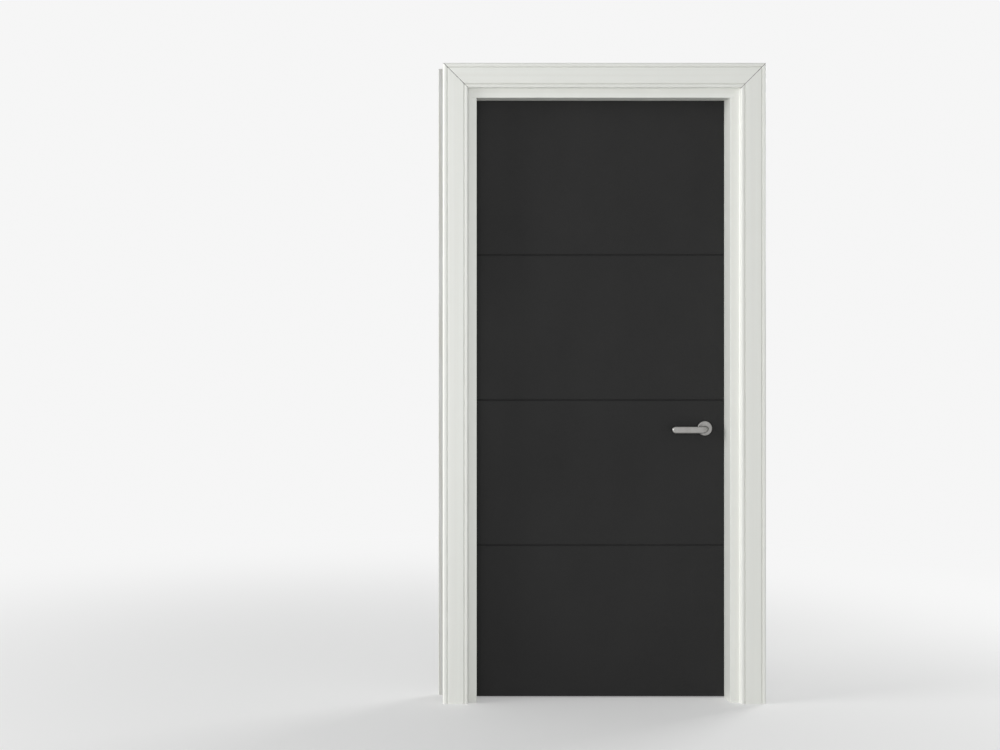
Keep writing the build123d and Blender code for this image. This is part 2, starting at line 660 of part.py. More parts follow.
OUTER_KNUCKLES = list(range(0, KNUCKLES, 2))
INNER_KNUCKLES = list(range(1, KNUCKLES, 2))
for place, hinge_z in HINGE_PLACES.items():
    with BuildPart() as frame_plate:
        add(hinge_half(hinge_z, -REBATE_X, -1, OUTER_KNUCKLES, HINGE_PIN_D))
        add(hinge_frame_holes, mode=Mode.SUBTRACT)
    frame_plate.part.label = f"hinge_{place}_frame_plate"
    export_step(frame_plate.part, f"parts/hinge_{place}_frame_plate.step")

    with BuildPart() as leaf_plate:
        add(hinge_half(hinge_z, -LEAF_EDGE_X, 1, INNER_KNUCKLES, HINGE_PIN_D + 2 * HINGE_PIN_CLEARANCE))
        add(hinge_leaf_holes, mode=Mode.SUBTRACT)
    leaf_plate.part.label = f"hinge_{place}_leaf_plate"
    export_step(leaf_plate.part, f"parts/hinge_{place}_leaf_plate.step")

    with BuildPart() as hinge_pin:
        with BuildSketch(Plane(origin=(PIN_X, PIN_Y, hinge_z), x_dir=(1, 0, 0), z_dir=(0, -1, 0))):
            with BuildLine():
                Polyline(
                    (0, HINGE_H / 2 + HINGE_TIP_H),
                    (HINGE_TIP_D / 2 - HINGE_TIP_H / 2, HINGE_H / 2 + HINGE_TIP_H),
                    (HINGE_TIP_D / 2, HINGE_H / 2 + HINGE_TIP_H / 2),
                    (HINGE_TIP_D / 2, HINGE_H / 2),
                    (HINGE_PIN_D / 2, HINGE_H / 2),
                    (HINGE_PIN_D / 2, -HINGE_H / 2),
                    (HINGE_TIP_D / 2, -HINGE_H / 2),
                    (HINGE_TIP_D / 2, -HINGE_H / 2 - HINGE_TIP_H / 2),
                    (HINGE_TIP_D / 2 - HINGE_TIP_H / 2, -HINGE_H / 2 - HINGE_TIP_H),
                    (0, -HINGE_H / 2 - HINGE_TIP_H),
                    close=True,
                )
            make_face()
        revolve(axis=Axis((PIN_X, PIN_Y, 0), (0, 0, 1)))
    hinge_pin.part.label = f"hinge_{place}_pin"
    export_step(hinge_pin.part, f"parts/hinge_{place}_pin.step")

# Latch, drawn in the middle plane of the leaf: X towards the lock edge, Y up, from the spindle
CASE_FRONT = BACKSET - FOREND_T
CASE_L = CASE_FRONT + CASE_BACK
CASE_H = CASE_ABOVE + CASE_BELOW
SLEEVE_HOLE_D = SLEEVE_D + 2 * SLEEVE_CLEARANCE


def latch_box(grow, thickness, middle=0.0):
    """The outline of the latch case as a block, grown all round by a fit."""
    with BuildPart(mode=Mode.PRIVATE) as block:
        with BuildSketch(LATCH_PLANE.offset(middle)):
            with Locations(((CASE_FRONT - CASE_BACK) / 2, (CASE_ABOVE - CASE_BELOW) / 2)):
                Rectangle(CASE_L + 2 * grow, CASE_H + 2 * grow)
        extrude(amount=thickness / 2, both=True)
    return block.part


post_places = [
    (across, up)
    for across in (POST_INSET - CASE_BACK, CASE_FRONT - POST_INSET)
    for up in (POST_INSET - CASE_BELOW, CASE_ABOVE - POST_INSET)
]

with BuildPart() as latch_case:
    add(latch_box(0, CASE_T))
    add(latch_box(-CASE_WALL, INNER_T), mode=Mode.SUBTRACT)
    # The cover closes the far side, and the forend the edge
    with BuildSketch(LATCH_PLANE.offset(-CASE_T / 2)):
        with Locations(((CASE_FRONT - CASE_BACK) / 2, (CASE_ABOVE - CASE_BELOW) / 2)):
            Rectangle(CASE_L, CASE_H)
    extrude(amount=CASE_WALL, mode=Mode.SUBTRACT)
    with BuildSketch(LATCH_PLANE.offset(-INNER_T / 2)):
        with Locations((CASE_FRONT, (CASE_ABOVE - CASE_BELOW) / 2)):
            Rectangle(2 * CASE_WALL, CASE_H - 2 * CASE_WALL, align=(Align.CENTER, Align.CENTER))
    extrude(amount=INNER_T, mode=Mode.SUBTRACT)
    # Posts that the cover is riveted on
    with BuildSketch(LATCH_PLANE.offset(-INNER_T / 2)):
        with Locations(*post_places):
            Circle(POST_D / 2)
    extrude(amount=INNER_T)
    with BuildSketch(LATCH_PLANE.offset(-CASE_T / 2)):
        with Locations(*post_places):
            Circle(RIVET_D / 2)
    extrude(amount=CASE_WALL)
    # Lug that guides the rod of the bolt and bears its spring
    with BuildSketch(LATCH_PLANE.offset(-INNER_T / 2 + LINER_GAP)):
        with Locations((LUG_X, BOLT_RISE)):
            Rectangle(LUG_T, BOLT_ROD_D + 2 * LUG_MARGIN, align=(Align.MIN, Align.CENTER))
    extrude(amount=INNER_T - LINER_GAP)
    with Locations(Plane(origin=(SPINDLE_X + LUG_X + LUG_T, LEAF_MID_Y, BOLT_Z), z_dir=(1, 0, 0))):
        Hole(BOLT_ROD_D / 2 + BOLT_CLEARANCE, LUG_T)
    # Holes for the follower and for the bolts of the roses
    with Locations(LATCH_PLANE.offset(CASE_T / 2)):
        Hole(FOLLOWER_BOSS_D / 2 + TURN_CLEARANCE, CASE_WALL)
        with GridLocations(BOLT_CENTRES, 0, 2, 1):
            Hole(SLEEVE_HOLE_D / 2, CASE_WALL)
latch_case.part.label = "latch_case"
export_step(latch_case.part, "parts/latch_case.step")

with BuildPart() as latch_cover:
    with BuildSketch(LATCH_PLANE.offset(-CASE_T / 2)):
        with Locations(((CASE_FRONT - CASE_BACK) / 2, (CASE_ABOVE - CASE_BELOW) / 2)):
            Rectangle(CASE_L, CASE_H)
        with Locations(*post_places):
            Circle(RIVET_D / 2, mode=Mode.SUBTRACT)
        Circle(FOLLOWER_BOSS_D / 2 + TURN_CLEARANCE, mode=Mode.SUBTRACT)
        with GridLocations(BOLT_CENTRES, 0, 2, 1):
            Circle(SLEEVE_HOLE_D / 2, mode=Mode.SUBTRACT)
    extrude(amount=CASE_WALL)
latch_cover.part.label = "latch_cover"
export_step(latch_cover.part, "parts/latch_cover.step")

# Forend, with the hole that the bolt comes out of
forend_plane = Plane(
    origin=(LEAF_EDGE_X - FOREND_T, LEAF_MID_Y, CASE_MID_Z), x_dir=(0, 1, 0), z_dir=(1, 0, 0)
)
with BuildPart() as latch_forend_blank:
    with BuildSketch(forend_plane):
        RectangleRounded(FOREND_W, FOREND_H, CASE_CORNER_R)
    extrude(amount=FOREND_T)
with BuildPart() as latch_forend:
    add(latch_forend_blank.part)
    with BuildSketch(forend_plane):
        with Locations((0, BOLT_Z - CASE_MID_Z)):
            Rectangle(BOLT_W + 2 * BOLT_CLEARANCE, BOLT_H + 2 * BOLT_CLEARANCE)
    extrude(amount=FOREND_T, mode=Mode.SUBTRACT)
    add(forend_screw_holes, mode=Mode.SUBTRACT)
latch_forend.part.label = "latch_forend"
export_step(latch_forend.part, "parts/latch_forend.step")

# Latch bolt: bevelled head, rod through the lug, and a slotted bar that the follower pulls
BOLT_TIP = BACKSET + BOLT_THROW
BOLT_SHOULDER = BOLT_TIP - BOLT_HEAD_L
HOOK_FACE = -(FOLLOWER_ARM_W / 2 + FOLLOWER_PLAY)
SLOT_FRONT = BOLT_THROW + FOLLOWER_ARM_W / 2 + FOLLOWER_PLAY
BAR_BACK = HOOK_FACE - BOLT_HOOK_L
BAR_FRONT = LUG_X - BOLT_CLEARANCE
bolt_plane = Plane(origin=(SPINDLE_X, LEAF_MID_Y, BOLT_Z), x_dir=(1, 0, 0), z_dir=(0, 0, 1))
with BuildPart() as latch_bolt:
    with BuildSketch(bolt_plane.offset(-BOLT_H / 2)):
        with BuildLine():
            Line((BACKSET, -BOLT_W / 2), (BOLT_SHOULDER, -BOLT_W / 2))
            Line((BOLT_SHOULDER, -BOLT_W / 2), (BOLT_SHOULDER, BOLT_W / 2))
            Line((BOLT_SHOULDER, BOLT_W / 2), (BOLT_TIP, BOLT_W / 2))
            Line((BOLT_TIP, BOLT_W / 2), (BOLT_TIP, BOLT_W / 2 - BOLT_NOSE_W))
            RadiusArc((BOLT_TIP, BOLT_W / 2 - BOLT_NOSE_W), (BACKSET, -BOLT_W / 2), 2 * BOLT_THROW)
        make_face()
    extrude(amount=BOLT_H)
    with BuildSketch(Plane(origin=(SPINDLE_X + BAR_FRONT, LEAF_MID_Y, BOLT_Z), z_dir=(1, 0, 0))):
        Circle(BOLT_ROD_D / 2)
    extrude(amount=BOLT_SHOULDER - BAR_FRONT)
    with BuildSketch(bolt_plane.offset(-BOLT_BAR_H / 2)):
        with Locations((BAR_BACK, 0)):
            Rectangle(BAR_FRONT - BAR_BACK, BOLT_BAR_W, align=(Align.MIN, Align.CENTER))
        # The slot is long enough for the bolt to be pushed in while the follower stands still
        with Locations((HOOK_FACE, 0)):
            Rectangle(
                SLOT_FRONT - HOOK_FACE,
                FOLLOWER_ARM_T + 2 * BOLT_CLEARANCE,
                align=(Align.MIN, Align.CENTER),
                mode=Mode.SUBTRACT,
            )
    extrude(amount=BOLT_BAR_H)
latch_bolt.part.label = "latch_bolt"
export_step(latch_bolt.part, "parts/latch_bolt.step")

# Bolt spring, round the rod between the lug and the shoulder of the head
SPRING_START = LUG_X + LUG_T + SPRING_WIRE_D / 2
SPRING_L = BOLT_SHOULDER - SPRING_START - SPRING_WIRE_D / 2
with BuildPart() as latch_spring:
    with BuildLine() as coil:
        Helix(
            pitch=SPRING_L / SPRING_TURNS,
            height=SPRING_L,
            radius=SPRING_COIL_D / 2,
            center=(SPINDLE_X + SPRING_START, LEAF_MID_Y, BOLT_Z),
            direction=(1, 0, 0),
        )
    with BuildSketch(Plane(origin=coil.line @ 0, z_dir=coil.line % 0)):
        Circle(SPRING_WIRE_D / 2)
    sweep(is_frenet=True)
latch_spring.part.label = "latch_spring"
export_step(latch_spring.part, "parts/latch_spring.step")

# Follower: a hub with two bosses in the case's walls and the arm that pulls the bolt
with BuildPart() as latch_follower:
    with BuildSketch(LATCH_PLANE):
        Circle(FOLLOWER_D / 2)
    extrude(amount=INNER_T / 2 - TURN_CLEARANCE, both=True)
    with BuildSketch(LATCH_PLANE):
        Circle(FOLLOWER_BOSS_D / 2)
    extrude(amount=CASE_T / 2, both=True)
    with BuildSketch(LATCH_PLANE):
        Rectangle(FOLLOWER_ARM_W, FOLLOWER_ARM_R, align=(Align.CENTER, Align.MIN))
        with Locations((0, FOLLOWER_ARM_R)):
            Circle(FOLLOWER_ARM_W / 2)
    extrude(amount=FOLLOWER_ARM_T / 2, both=True)
    with BuildSketch(LATCH_PLANE):
        Rectangle(SPINDLE_S + 2 * SPINDLE_FIT, SPINDLE_S + 2 * SPINDLE_FIT)
    extrude(amount=CASE_T, both=True, mode=Mode.SUBTRACT)
latch_follower.part.label = "latch_follower"
export_step(latch_follower.part, "parts/latch_follower.step")

# Spindle, the square bar through both levers
with BuildPart() as spindle:
    with BuildSketch(LATCH_PLANE):
        Rectangle(SPINDLE_S, SPINDLE_S)
    extrude(amount=LEAF_T / 2 + SPINDLE_REACH, both=True)
spindle.part.label = "spindle"
export_step(spindle.part, "parts/spindle.step")

# Sleeves and bolts that draw the two roses together through the leaf
ROSE_BASE_H = ROSE_H - ROSE_WALL
HEAD_SEAT = ROSE_BASE_H - BOLT_HEAD_H
SLEEVE_L = LEAF_T + HEAD_SEAT - SLEEVE_GAP
with BuildPart() as rose_bolt_sleeves:
    with Locations(FRONT_HANDLE.offset(HEAD_SEAT)):
        with GridLocations(BOLT_CENTRES, 0, 2, 1):
            Cylinder(BOLT_HEAD_D / 2, BOLT_HEAD_H, align=(Align.CENTER, Align.CENTER, Align.MIN))
            Cylinder(SLEEVE_D / 2, SLEEVE_L, align=(Align.CENTER, Align.CENTER, Align.MAX))
    with Locations(FRONT_HANDLE.offset(HEAD_SEAT - SLEEVE_L)):
        with GridLocations(BOLT_CENTRES, 0, 2, 1):
            Cylinder(
                MALE_BOLT_D / 2,
                MALE_BOLT_ENGAGED,
                align=(Align.CENTER, Align.CENTER, Align.MIN),
                mode=Mode.SUBTRACT,
            )
rose_bolt_sleeves.part.label = "rose_bolt_sleeves"
export_step(rose_bolt_sleeves.part, "parts/rose_bolt_sleeves.step")

BACK_SEAT = -(LEAF_T + HEAD_SEAT)
with BuildPart() as rose_bolts:
    with Locations(FRONT_HANDLE.offset(BACK_SEAT)):
        with GridLocations(BOLT_CENTRES, 0, 2, 1):
            Cylinder(BOLT_HEAD_D / 2, BOLT_HEAD_H, align=(Align.CENTER, Align.CENTER, Align.MAX))
    with Locations(FRONT_HANDLE.offset(BACK_SEAT)):
        with GridLocations(BOLT_CENTRES, 0, 2, 1):
            Cylinder(
                MALE_BOLT_D / 2,
                LEAF_T + 2 * HEAD_SEAT - SLEEVE_L + MALE_BOLT_ENGAGED,
                align=(Align.CENTER, Align.CENTER, Align.MIN),
            )
rose_bolts.part.label = "rose_bolts"
export_step(rose_bolts.part, "parts/rose_bolts.step")

# Leaf: two facings on a frame of stiles and rails, with a core and a block for the latch
with BuildPart() as facing_front:
    with BuildSketch(Plane.YZ.offset(-LEAF_EDGE_X)) as facing_section:
        with Locations((LEAF_FRONT_Y, LEAF_BOTTOM_Z)):
            Rectangle(FACING_T, LEAF_H, align=Align.MIN)
        with Locations(*[(LEAF_FRONT_Y, z) for z in GROOVE_ZS]):
            Polygon(
                (0, -GROOVE_W / 2),
                (GROOVE_D, -GROOVE_BOTTOM_W / 2),
                (GROOVE_D, GROOVE_BOTTOM_W / 2),
                (0, GROOVE_W / 2),
                align=None,
                mode=Mode.SUBTRACT,
            )
        face_corners = facing_section.vertices().group_by(Axis.X)[0].sort_by(Axis.Y)
        fillet(face_corners[1:-1], GROOVE_ARRIS_R)
        fillet([face_corners[0], face_corners[-1]], LEAF_ARRIS_R)
    extrude(amount=LEAF_W)
    # The upright edges are eased as well
    with BuildSketch(Plane.XY.offset(LEAF_BOTTOM_Z)) as facing_plan:
        with Locations((0, LEAF_FRONT_Y)):
            Rectangle(LEAF_W, FACING_T, align=(Align.CENTER, Align.MIN))
        fillet(facing_plan.vertices().group_by(Axis.Y)[0], LEAF_ARRIS_R)
    extrude(amount=LEAF_H, mode=Mode.INTERSECT)
    with Locations(FRONT_HANDLE):
        Hole(SPINDLE_HOLE_D / 2, FACING_T)
        with GridLocations(BOLT_CENTRES, 0, 2, 1):
            Hole(SLEEVE_HOLE_D / 2, FACING_T)
facing_front.part.label = "facing_front"
export_step(facing_front.part, "parts/facing_front.step")

with BuildPart() as facing_back:
    add(mirror(facing_front.part, about=LEAF_MID_PLANE))
    for hinge_z in HINGE_PLACES.values():
        add(hinge_plate(hinge_z, -LEAF_EDGE_X, 1, 0), mode=Mode.SUBTRACT)
facing_back.part.label = "facing_back"
export_step(facing_back.part, "parts/facing_back.step")

with BuildPart() as stile_hinge:
    with BuildSketch(Plane.XY.offset(LEAF_BOTTOM_Z)):
        with Locations((-LEAF_EDGE_X, LEAF_MID_Y)):
            Rectangle(STILE_W, CORE_T, align=(Align.MIN, Align.CENTER))
    extrude(amount=LEAF_H)
    for hinge_z in HINGE_PLACES.values():
        add(hinge_plate(hinge_z, -LEAF_EDGE_X, 1, 0), mode=Mode.SUBTRACT)
    add(hinge_leaf_holes, mode=Mode.SUBTRACT)
stile_hinge.part.label = "stile_hinge"
export_step(stile_hinge.part, "parts/stile_hinge.step")

with BuildPart() as stile_lock:
    with BuildSketch(Plane.XY.offset(LEAF_BOTTOM_Z)):
        with Locations((LEAF_EDGE_X, LEAF_MID_Y)):
            Rectangle(STILE_W, CORE_T, align=(Align.MAX, Align.CENTER))
    extrude(amount=LEAF_H)
    add(latch_forend_blank.part, mode=Mode.SUBTRACT)
    add(latch_box(CASE_FIT, CASE_T + 2 * CASE_FIT), mode=Mode.SUBTRACT)
    add(forend_screw_holes, mode=Mode.SUBTRACT)
stile_lock.part.label = "stile_lock"
export_step(stile_lock.part, "parts/stile_lock.step")

INNER_W = LEAF_W - 2 * STILE_W
for name, low_z, height in (
    ("rail_bottom", LEAF_BOTTOM_Z, RAIL_BOTTOM_H),
    ("rail_top", LEAF_TOP_Z - RAIL_TOP_H, RAIL_TOP_H),
):
    with BuildPart() as rail:
        with BuildSketch(Plane.XY.offset(low_z)):
            with Locations((0, LEAF_MID_Y)):
                Rectangle(INNER_W, CORE_T)
        extrude(amount=height)
    rail.part.label = name
    export_step(rail.part, f"parts/{name}.step")

BLOCK_RIGHT = LEAF_EDGE_X - STILE_W
block_plane = Plane(origin=(BLOCK_RIGHT, LEAF_MID_Y, SPINDLE_Z), x_dir=(1, 0, 0), z_dir=(0, -1, 0))
with BuildPart() as lock_block_blank:
    with BuildSketch(block_plane):
        Rectangle(LOCK_BLOCK_W, LOCK_BLOCK_H, align=(Align.MAX, Align.CENTER))
    extrude(amount=CORE_T / 2, both=True)
with BuildPart() as lock_block:
    add(lock_block_blank.part)
    add(latch_box(CASE_FIT, CASE_T + 2 * CASE_FIT), mode=Mode.SUBTRACT)
    with Locations(LATCH_PLANE.offset(CORE_T / 2)):
        Hole(SPINDLE_HOLE_D / 2, CORE_T)
        with GridLocations(BOLT_CENTRES, 0, 2, 1):
            Hole(SLEEVE_HOLE_D / 2, CORE_T)
lock_block.part.label = "lock_block"
export_step(lock_block.part, "parts/lock_block.step")

with BuildPart() as core:
    with BuildSketch(Plane.XY.offset(LEAF_BOTTOM_Z + RAIL_BOTTOM_H)):
        with Locations((0, LEAF_MID_Y)):
            Rectangle(INNER_W, CORE_T)
    extrude(amount=LEAF_H - RAIL_BOTTOM_H - RAIL_TOP_H)
    add(lock_block_blank.part, mode=Mode.SUBTRACT)
core.part.label = "core"
export_step(core.part, "parts/core.step")

# Handle, drawn on the front face of the leaf: Z out of the leaf, X towards the lock edge.
# The far side is the same, mirrored in the middle of the leaf.
UP = (Align.CENTER, Align.CENTER, Align.MIN)
NECK_HOLE_D = LEVER_JOURNAL_D + 2 * TURN_CLEARANCE

with BuildPart() as rose_cover_front:
    with Locations(FRONT_HANDLE):
        Cylinder(ROSE_D / 2, ROSE_H, align=UP)
    fillet(rose_cover_front.edges().group_by(Axis.Y)[0], ROSE_EDGE_R)
    with Locations(FRONT_HANDLE):
        Cylinder(ROSE_D / 2 - ROSE_WALL, ROSE_H - ROSE_WALL, align=UP, mode=Mode.SUBTRACT)
        Cylinder(NECK_HOLE_D / 2, ROSE_H, align=UP, mode=Mode.SUBTRACT)
rose_cover_front.part.label = "rose_cover_front"
export_step(rose_cover_front.part, "parts/rose_cover_front.step")

with BuildPart() as rose_base_front:
    with Locations(FRONT_HANDLE):
        Cylinder(ROSE_D / 2 - ROSE_WALL - ROSE_FIT, ROSE_BASE_H, align=UP)
        Cylinder(ROSE_POCKET_D / 2, ROSE_POCKET_H, align=UP, mode=Mode.SUBTRACT)
        Cylinder(NECK_HOLE_D / 2, ROSE_BASE_H, align=UP, mode=Mode.SUBTRACT)
    with Locations(FRONT_HANDLE.offset(ROSE_BASE_H)):
        with GridLocations(BOLT_CENTRES, 0, 2, 1):
            CounterBoreHole(SLEEVE_D / 2, BOLT_HEAD_D / 2, BOLT_HEAD_H, ROSE_BASE_H)
rose_base_front.part.label = "rose_base_front"
export_step(rose_base_front.part, "parts/rose_base_front.step")

# Return spring: an open ring between the lever's flange and the roof of the pocket
ring_plane = FRONT_HANDLE.offset(RETURN_RISE)
with BuildPart() as return_spring_front:
    with BuildLine(ring_plane) as ring:
        CenterArc((0, 0), RETURN_RING_D / 2, RETURN_GAP_ANGLE / 2, 360 - RETURN_GAP_ANGLE)
    with BuildSketch(Plane(origin=ring.line @ 0, z_dir=ring.line % 0)):
        Circle(RETURN_WIRE_D / 2)
    sweep()
return_spring_front.part.label = "return_spring_front"
export_step(return_spring_front.part, "parts/return_spring_front.step")

# Lever: a round neck out of the rose, a bend that flattens, and a flat-oval grip with a round tip
GRIP_MID = LEVER_PROJECTION - LEVER_GRIP_T / 2
BEND_CENTRE = (-LEVER_BEND_R, GRIP_MID - LEVER_BEND_R)
TIP_CENTRE_X = LEVER_GRIP_H / 2 - LEVER_L


def blend(start, end, share):
    """A value that eases from start to end."""
    eased = share * share * (3 - 2 * share)
    return start + (end - start) * eased


with BuildPart() as lever_front:
    # Journal that turns in the rose, the flange that keeps it there, and the neck
    with Locations(FRONT_HANDLE.offset(LEVER_SEAT)):
        Cylinder(LEVER_JOURNAL_D / 2, ROSE_H + LEVER_JOURNAL_STANDOFF - LEVER_SEAT, align=UP)
        Cylinder(LEVER_FLANGE_D / 2, LEVER_FLANGE_H, align=UP)
    with BuildSketch(FRONT_HANDLE.offset(ROSE_H)):
        RectangleRounded(LEVER_NECK_W, LEVER_NECK_W, LEVER_NECK_CORNER_R)
    extrude(amount=BEND_CENTRE[1] - ROSE_H)
    # Bend, through sections that turn with it
    for i in range(LEVER_BEND_SECTIONS):
        share = i / (LEVER_BEND_SECTIONS - 1)
        along = Vector(1, 0, 0).rotate(Axis.Y, -90 * share)
        centre = FRONT_HANDLE.from_local_coords(
            (
                BEND_CENTRE[0] + LEVER_BEND_R * along.X,
                -blend(0, LEVER_DROP, share),
                BEND_CENTRE[1] + LEVER_BEND_R * along.Z,
            )
        )
        heading = Vector(-along.Z, -along.X, 0)
        out = Vector(along.X, -along.Z, 0)
        with BuildSketch(Plane(origin=centre, x_dir=out, z_dir=heading)):
            RectangleRounded(
                blend(LEVER_NECK_W, LEVER_GRIP_T, share),
                blend(LEVER_NECK_W, LEVER_GRIP_H, share),
                blend(LEVER_NECK_CORNER_R, LEVER_GRIP_EDGE_R, share),
            )
    loft()
    # Grip and its round tip
    grip_end = FRONT_HANDLE.from_local_coords((-LEVER_BEND_R, -LEVER_DROP, GRIP_MID))
    with BuildSketch(Plane(origin=grip_end, x_dir=(0, -1, 0), z_dir=(-1, 0, 0))):
        RectangleRounded(LEVER_GRIP_T, LEVER_GRIP_H, LEVER_GRIP_EDGE_R)
    extrude(amount=-TIP_CENTRE_X - LEVER_BEND_R)
    tip = FRONT_HANDLE.from_local_coords((TIP_CENTRE_X, -LEVER_DROP, GRIP_MID))
    with BuildSketch(Plane(origin=tip, x_dir=(0, -1, 0), z_dir=(-1, 0, 0))) as tip_section:
        RectangleRounded(LEVER_GRIP_T, LEVER_GRIP_H, LEVER_GRIP_EDGE_R)
        with Locations((0, LEVER_GRIP_H / 2)):
            Rectangle(LEVER_GRIP_T, LEVER_GRIP_H, mode=Mode.SUBTRACT)
    revolve(axis=Axis(tip, (0, 1, 0)), revolution_arc=180)
    # Square bore for the spindle, and the threaded hole of the grub screw
    with BuildSketch(FRONT_HANDLE):
        Rectangle(SPINDLE_S + 2 * SPINDLE_FIT, SPINDLE_S + 2 * SPINDLE_FIT)
    extrude(amount=SPINDLE_REACH, mode=Mode.SUBTRACT)
    grub_hole = FRONT_HANDLE.from_local_coords((0, -LEVER_NECK_W / 2, GRUB_RISE))
    with Locations(Plane(origin=grub_hole, x_dir=(1, 0, 0), z_dir=(0, 0, -1))):
        Hole(GRUB_D / 2, (LEVER_NECK_W - SPINDLE_S) / 2)
lever_front.part.label = "lever_front"
export_step(lever_front.part, "parts/lever_front.step")

GRUB_L = (LEVER_NECK_W - SPINDLE_S) / 2 - GRUB_RECESS
with BuildPart() as grub_screw_front:
    foot = FRONT_HANDLE.from_local_coords((0, -SPINDLE_S / 2, GRUB_RISE))
    with BuildSketch(Plane(origin=foot, x_dir=(1, 0, 0), z_dir=(0, 0, -1))):
        Circle(GRUB_D / 2)
    extrude(amount=GRUB_L)
    head = FRONT_HANDLE.from_local_coords((0, -SPINDLE_S / 2 - GRUB_L, GRUB_RISE))
    with BuildSketch(Plane(origin=head, x_dir=(1, 0, 0), z_dir=(0, 0, -1))):
        RegularPolygon(GRUB_SOCKET_D / 2, 6)
    extrude(amount=-GRUB_SOCKET_DEPTH, mode=Mode.SUBTRACT)
with BuildPart() as grub_screws:
    add(grub_screw_front.part)
    add(mirror(grub_screw_front.part, about=LEAF_MID_PLANE))
grub_screws.part.label = "grub_screws"
export_step(grub_screws.part, "parts/grub_screws.step")

for front_piece, name in (
    (rose_cover_front, "rose_cover_back"),
    (rose_base_front, "rose_base_back"),
    (return_spring_front, "return_spring_back"),
    (lever_front, "lever_back"),
):
    with BuildPart() as back_piece:
        add(mirror(front_piece.part, about=LEAF_MID_PLANE))
    back_piece.part.label = name
    export_step(back_piece.part, f"parts/{name}.step")
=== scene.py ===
# Interior door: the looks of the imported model, in metres.
# X runs to the right along the door, Y away from the side it is pushed from, Z up.
import math

import bpy
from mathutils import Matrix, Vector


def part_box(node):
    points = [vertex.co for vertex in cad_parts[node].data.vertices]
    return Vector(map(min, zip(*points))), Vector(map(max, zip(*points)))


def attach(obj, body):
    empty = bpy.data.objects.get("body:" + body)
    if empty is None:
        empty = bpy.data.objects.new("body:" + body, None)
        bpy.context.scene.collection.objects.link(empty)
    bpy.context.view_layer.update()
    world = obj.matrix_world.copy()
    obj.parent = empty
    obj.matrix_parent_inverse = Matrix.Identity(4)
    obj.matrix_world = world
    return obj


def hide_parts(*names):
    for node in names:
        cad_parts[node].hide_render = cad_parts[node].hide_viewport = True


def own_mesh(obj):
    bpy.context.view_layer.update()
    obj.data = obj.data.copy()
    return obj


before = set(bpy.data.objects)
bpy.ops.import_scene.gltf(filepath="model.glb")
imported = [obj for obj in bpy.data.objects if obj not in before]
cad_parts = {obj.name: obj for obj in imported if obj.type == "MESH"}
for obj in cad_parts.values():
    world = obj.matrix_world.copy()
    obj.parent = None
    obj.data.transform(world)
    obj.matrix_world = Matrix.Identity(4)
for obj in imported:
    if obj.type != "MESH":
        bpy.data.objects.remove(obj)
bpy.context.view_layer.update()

bpy.ops.object.select_all(action="DESELECT")

# Camera. It stands far to the left of the door at eye level and looks straight at the wall,
# so upright and level edges stay parallel, and the lens is shifted to bring the door into the frame.
VIEWPOINT = (-1.203, -5.9135, 1.3073)
LEVEL_VIEW = (math.radians(90), 0, 0)

bpy.ops.object.camera_add(location=VIEWPOINT, rotation=LEVEL_VIEW)
camera = bpy.context.object
camera.name = "camera"
camera.data.sensor_width = 36.0
camera.data.lens = 60.73
camera.data.shift_x = 0.244
camera.data.shift_y = -0.05
bpy.context.scene.camera = camera
bpy.context.scene.view_settings.view_transform = "Standard"


# Light. A large soft lamp far to the left does most of the work, as a window would. A weaker one
# fills in from the front, one lights the far side, and the surroundings give a weak even white.
DOOR_MIDDLE = (0, 0, 1.1)
WHITE_AS_LIT = 0.38
WHITE_AS_SEEN = 0.92


def soft_lamp(name, place, aim, size, power):
    """A square lamp that points from its place to an aim."""
    bpy.ops.object.light_add(type="AREA", location=place)
    lamp = bpy.context.object
    lamp.name = name
    lamp.data.shape = "SQUARE"
    lamp.data.size = size
    lamp.data.energy = power
    lamp.visible_camera = False
    away = [a - b for a, b in zip(place, aim)]
    lamp.rotation_euler = (
        math.atan2(math.hypot(away[0], away[1]), away[2]),
        0,
        math.atan2(away[0], -away[1]),
    )


soft_lamp("window_light", (-12.0, -3.2, 3.2), DOOR_MIDDLE, size=5.6, power=1040.0)
soft_lamp("front_light", (-2.0, -8.0, 1.4), DOOR_MIDDLE, size=3.6, power=230.0)
soft_lamp("back_light", (5.4, 4.8, 3.2), DOOR_MIDDLE, size=3.0, power=300.0)

surroundings = bpy.data.worlds.new("surroundings")
surroundings.use_nodes = True
bpy.context.scene.world = surroundings


def add_node(tree, kind, inputs=None, **settings):
    """A shader node with its settings, and its inputs given by name or number as values or links."""
    made = tree.nodes.new("ShaderNode" + kind)
    for setting, value in settings.items():
        setattr(made, setting, value)
    for socket, value in (inputs or {}).items():
        if isinstance(value, bpy.types.NodeSocket):
            tree.links.new(value, made.inputs[socket])
        else:
            made.inputs[socket].default_value = value
    return made


def sum_of(tree, operation, first, second=0.0, third=0.0):
    """One step of arithmetic between shader values."""
    return add_node(tree, "Math", {0: first, 1: second, 2: third}, operation=operation).outputs[0]


def seen_directly(tree):
    """1 where a ray comes straight from the camera, or by way of metal or glass."""
    path = add_node(tree, "LightPath")
    straight = sum_of(tree, "MAXIMUM", path.outputs["Is Camera Ray"], path.outputs["Is Glossy Ray"])
    return sum_of(tree, "MAXIMUM", straight, path.outputs["Is Transmission Ray"])


world_tree = surroundings.node_tree
world_tree.nodes.clear()
lit_by = add_node(
    world_tree, "Background", {"Color": (0.97, 0.985, 1.0, 1), "Strength": WHITE_AS_LIT}
)
seen_as = add_node(world_tree, "Background", {"Color": (1, 1, 1, 1), "Strength": WHITE_AS_SEEN})
either = add_node(
    world_tree, "MixShader", {0: seen_directly(world_tree), 1: lit_by.outputs[0], 2: seen_as.outputs[0]}
)
add_node(world_tree, "OutputWorld", {0: either.outputs[0]})


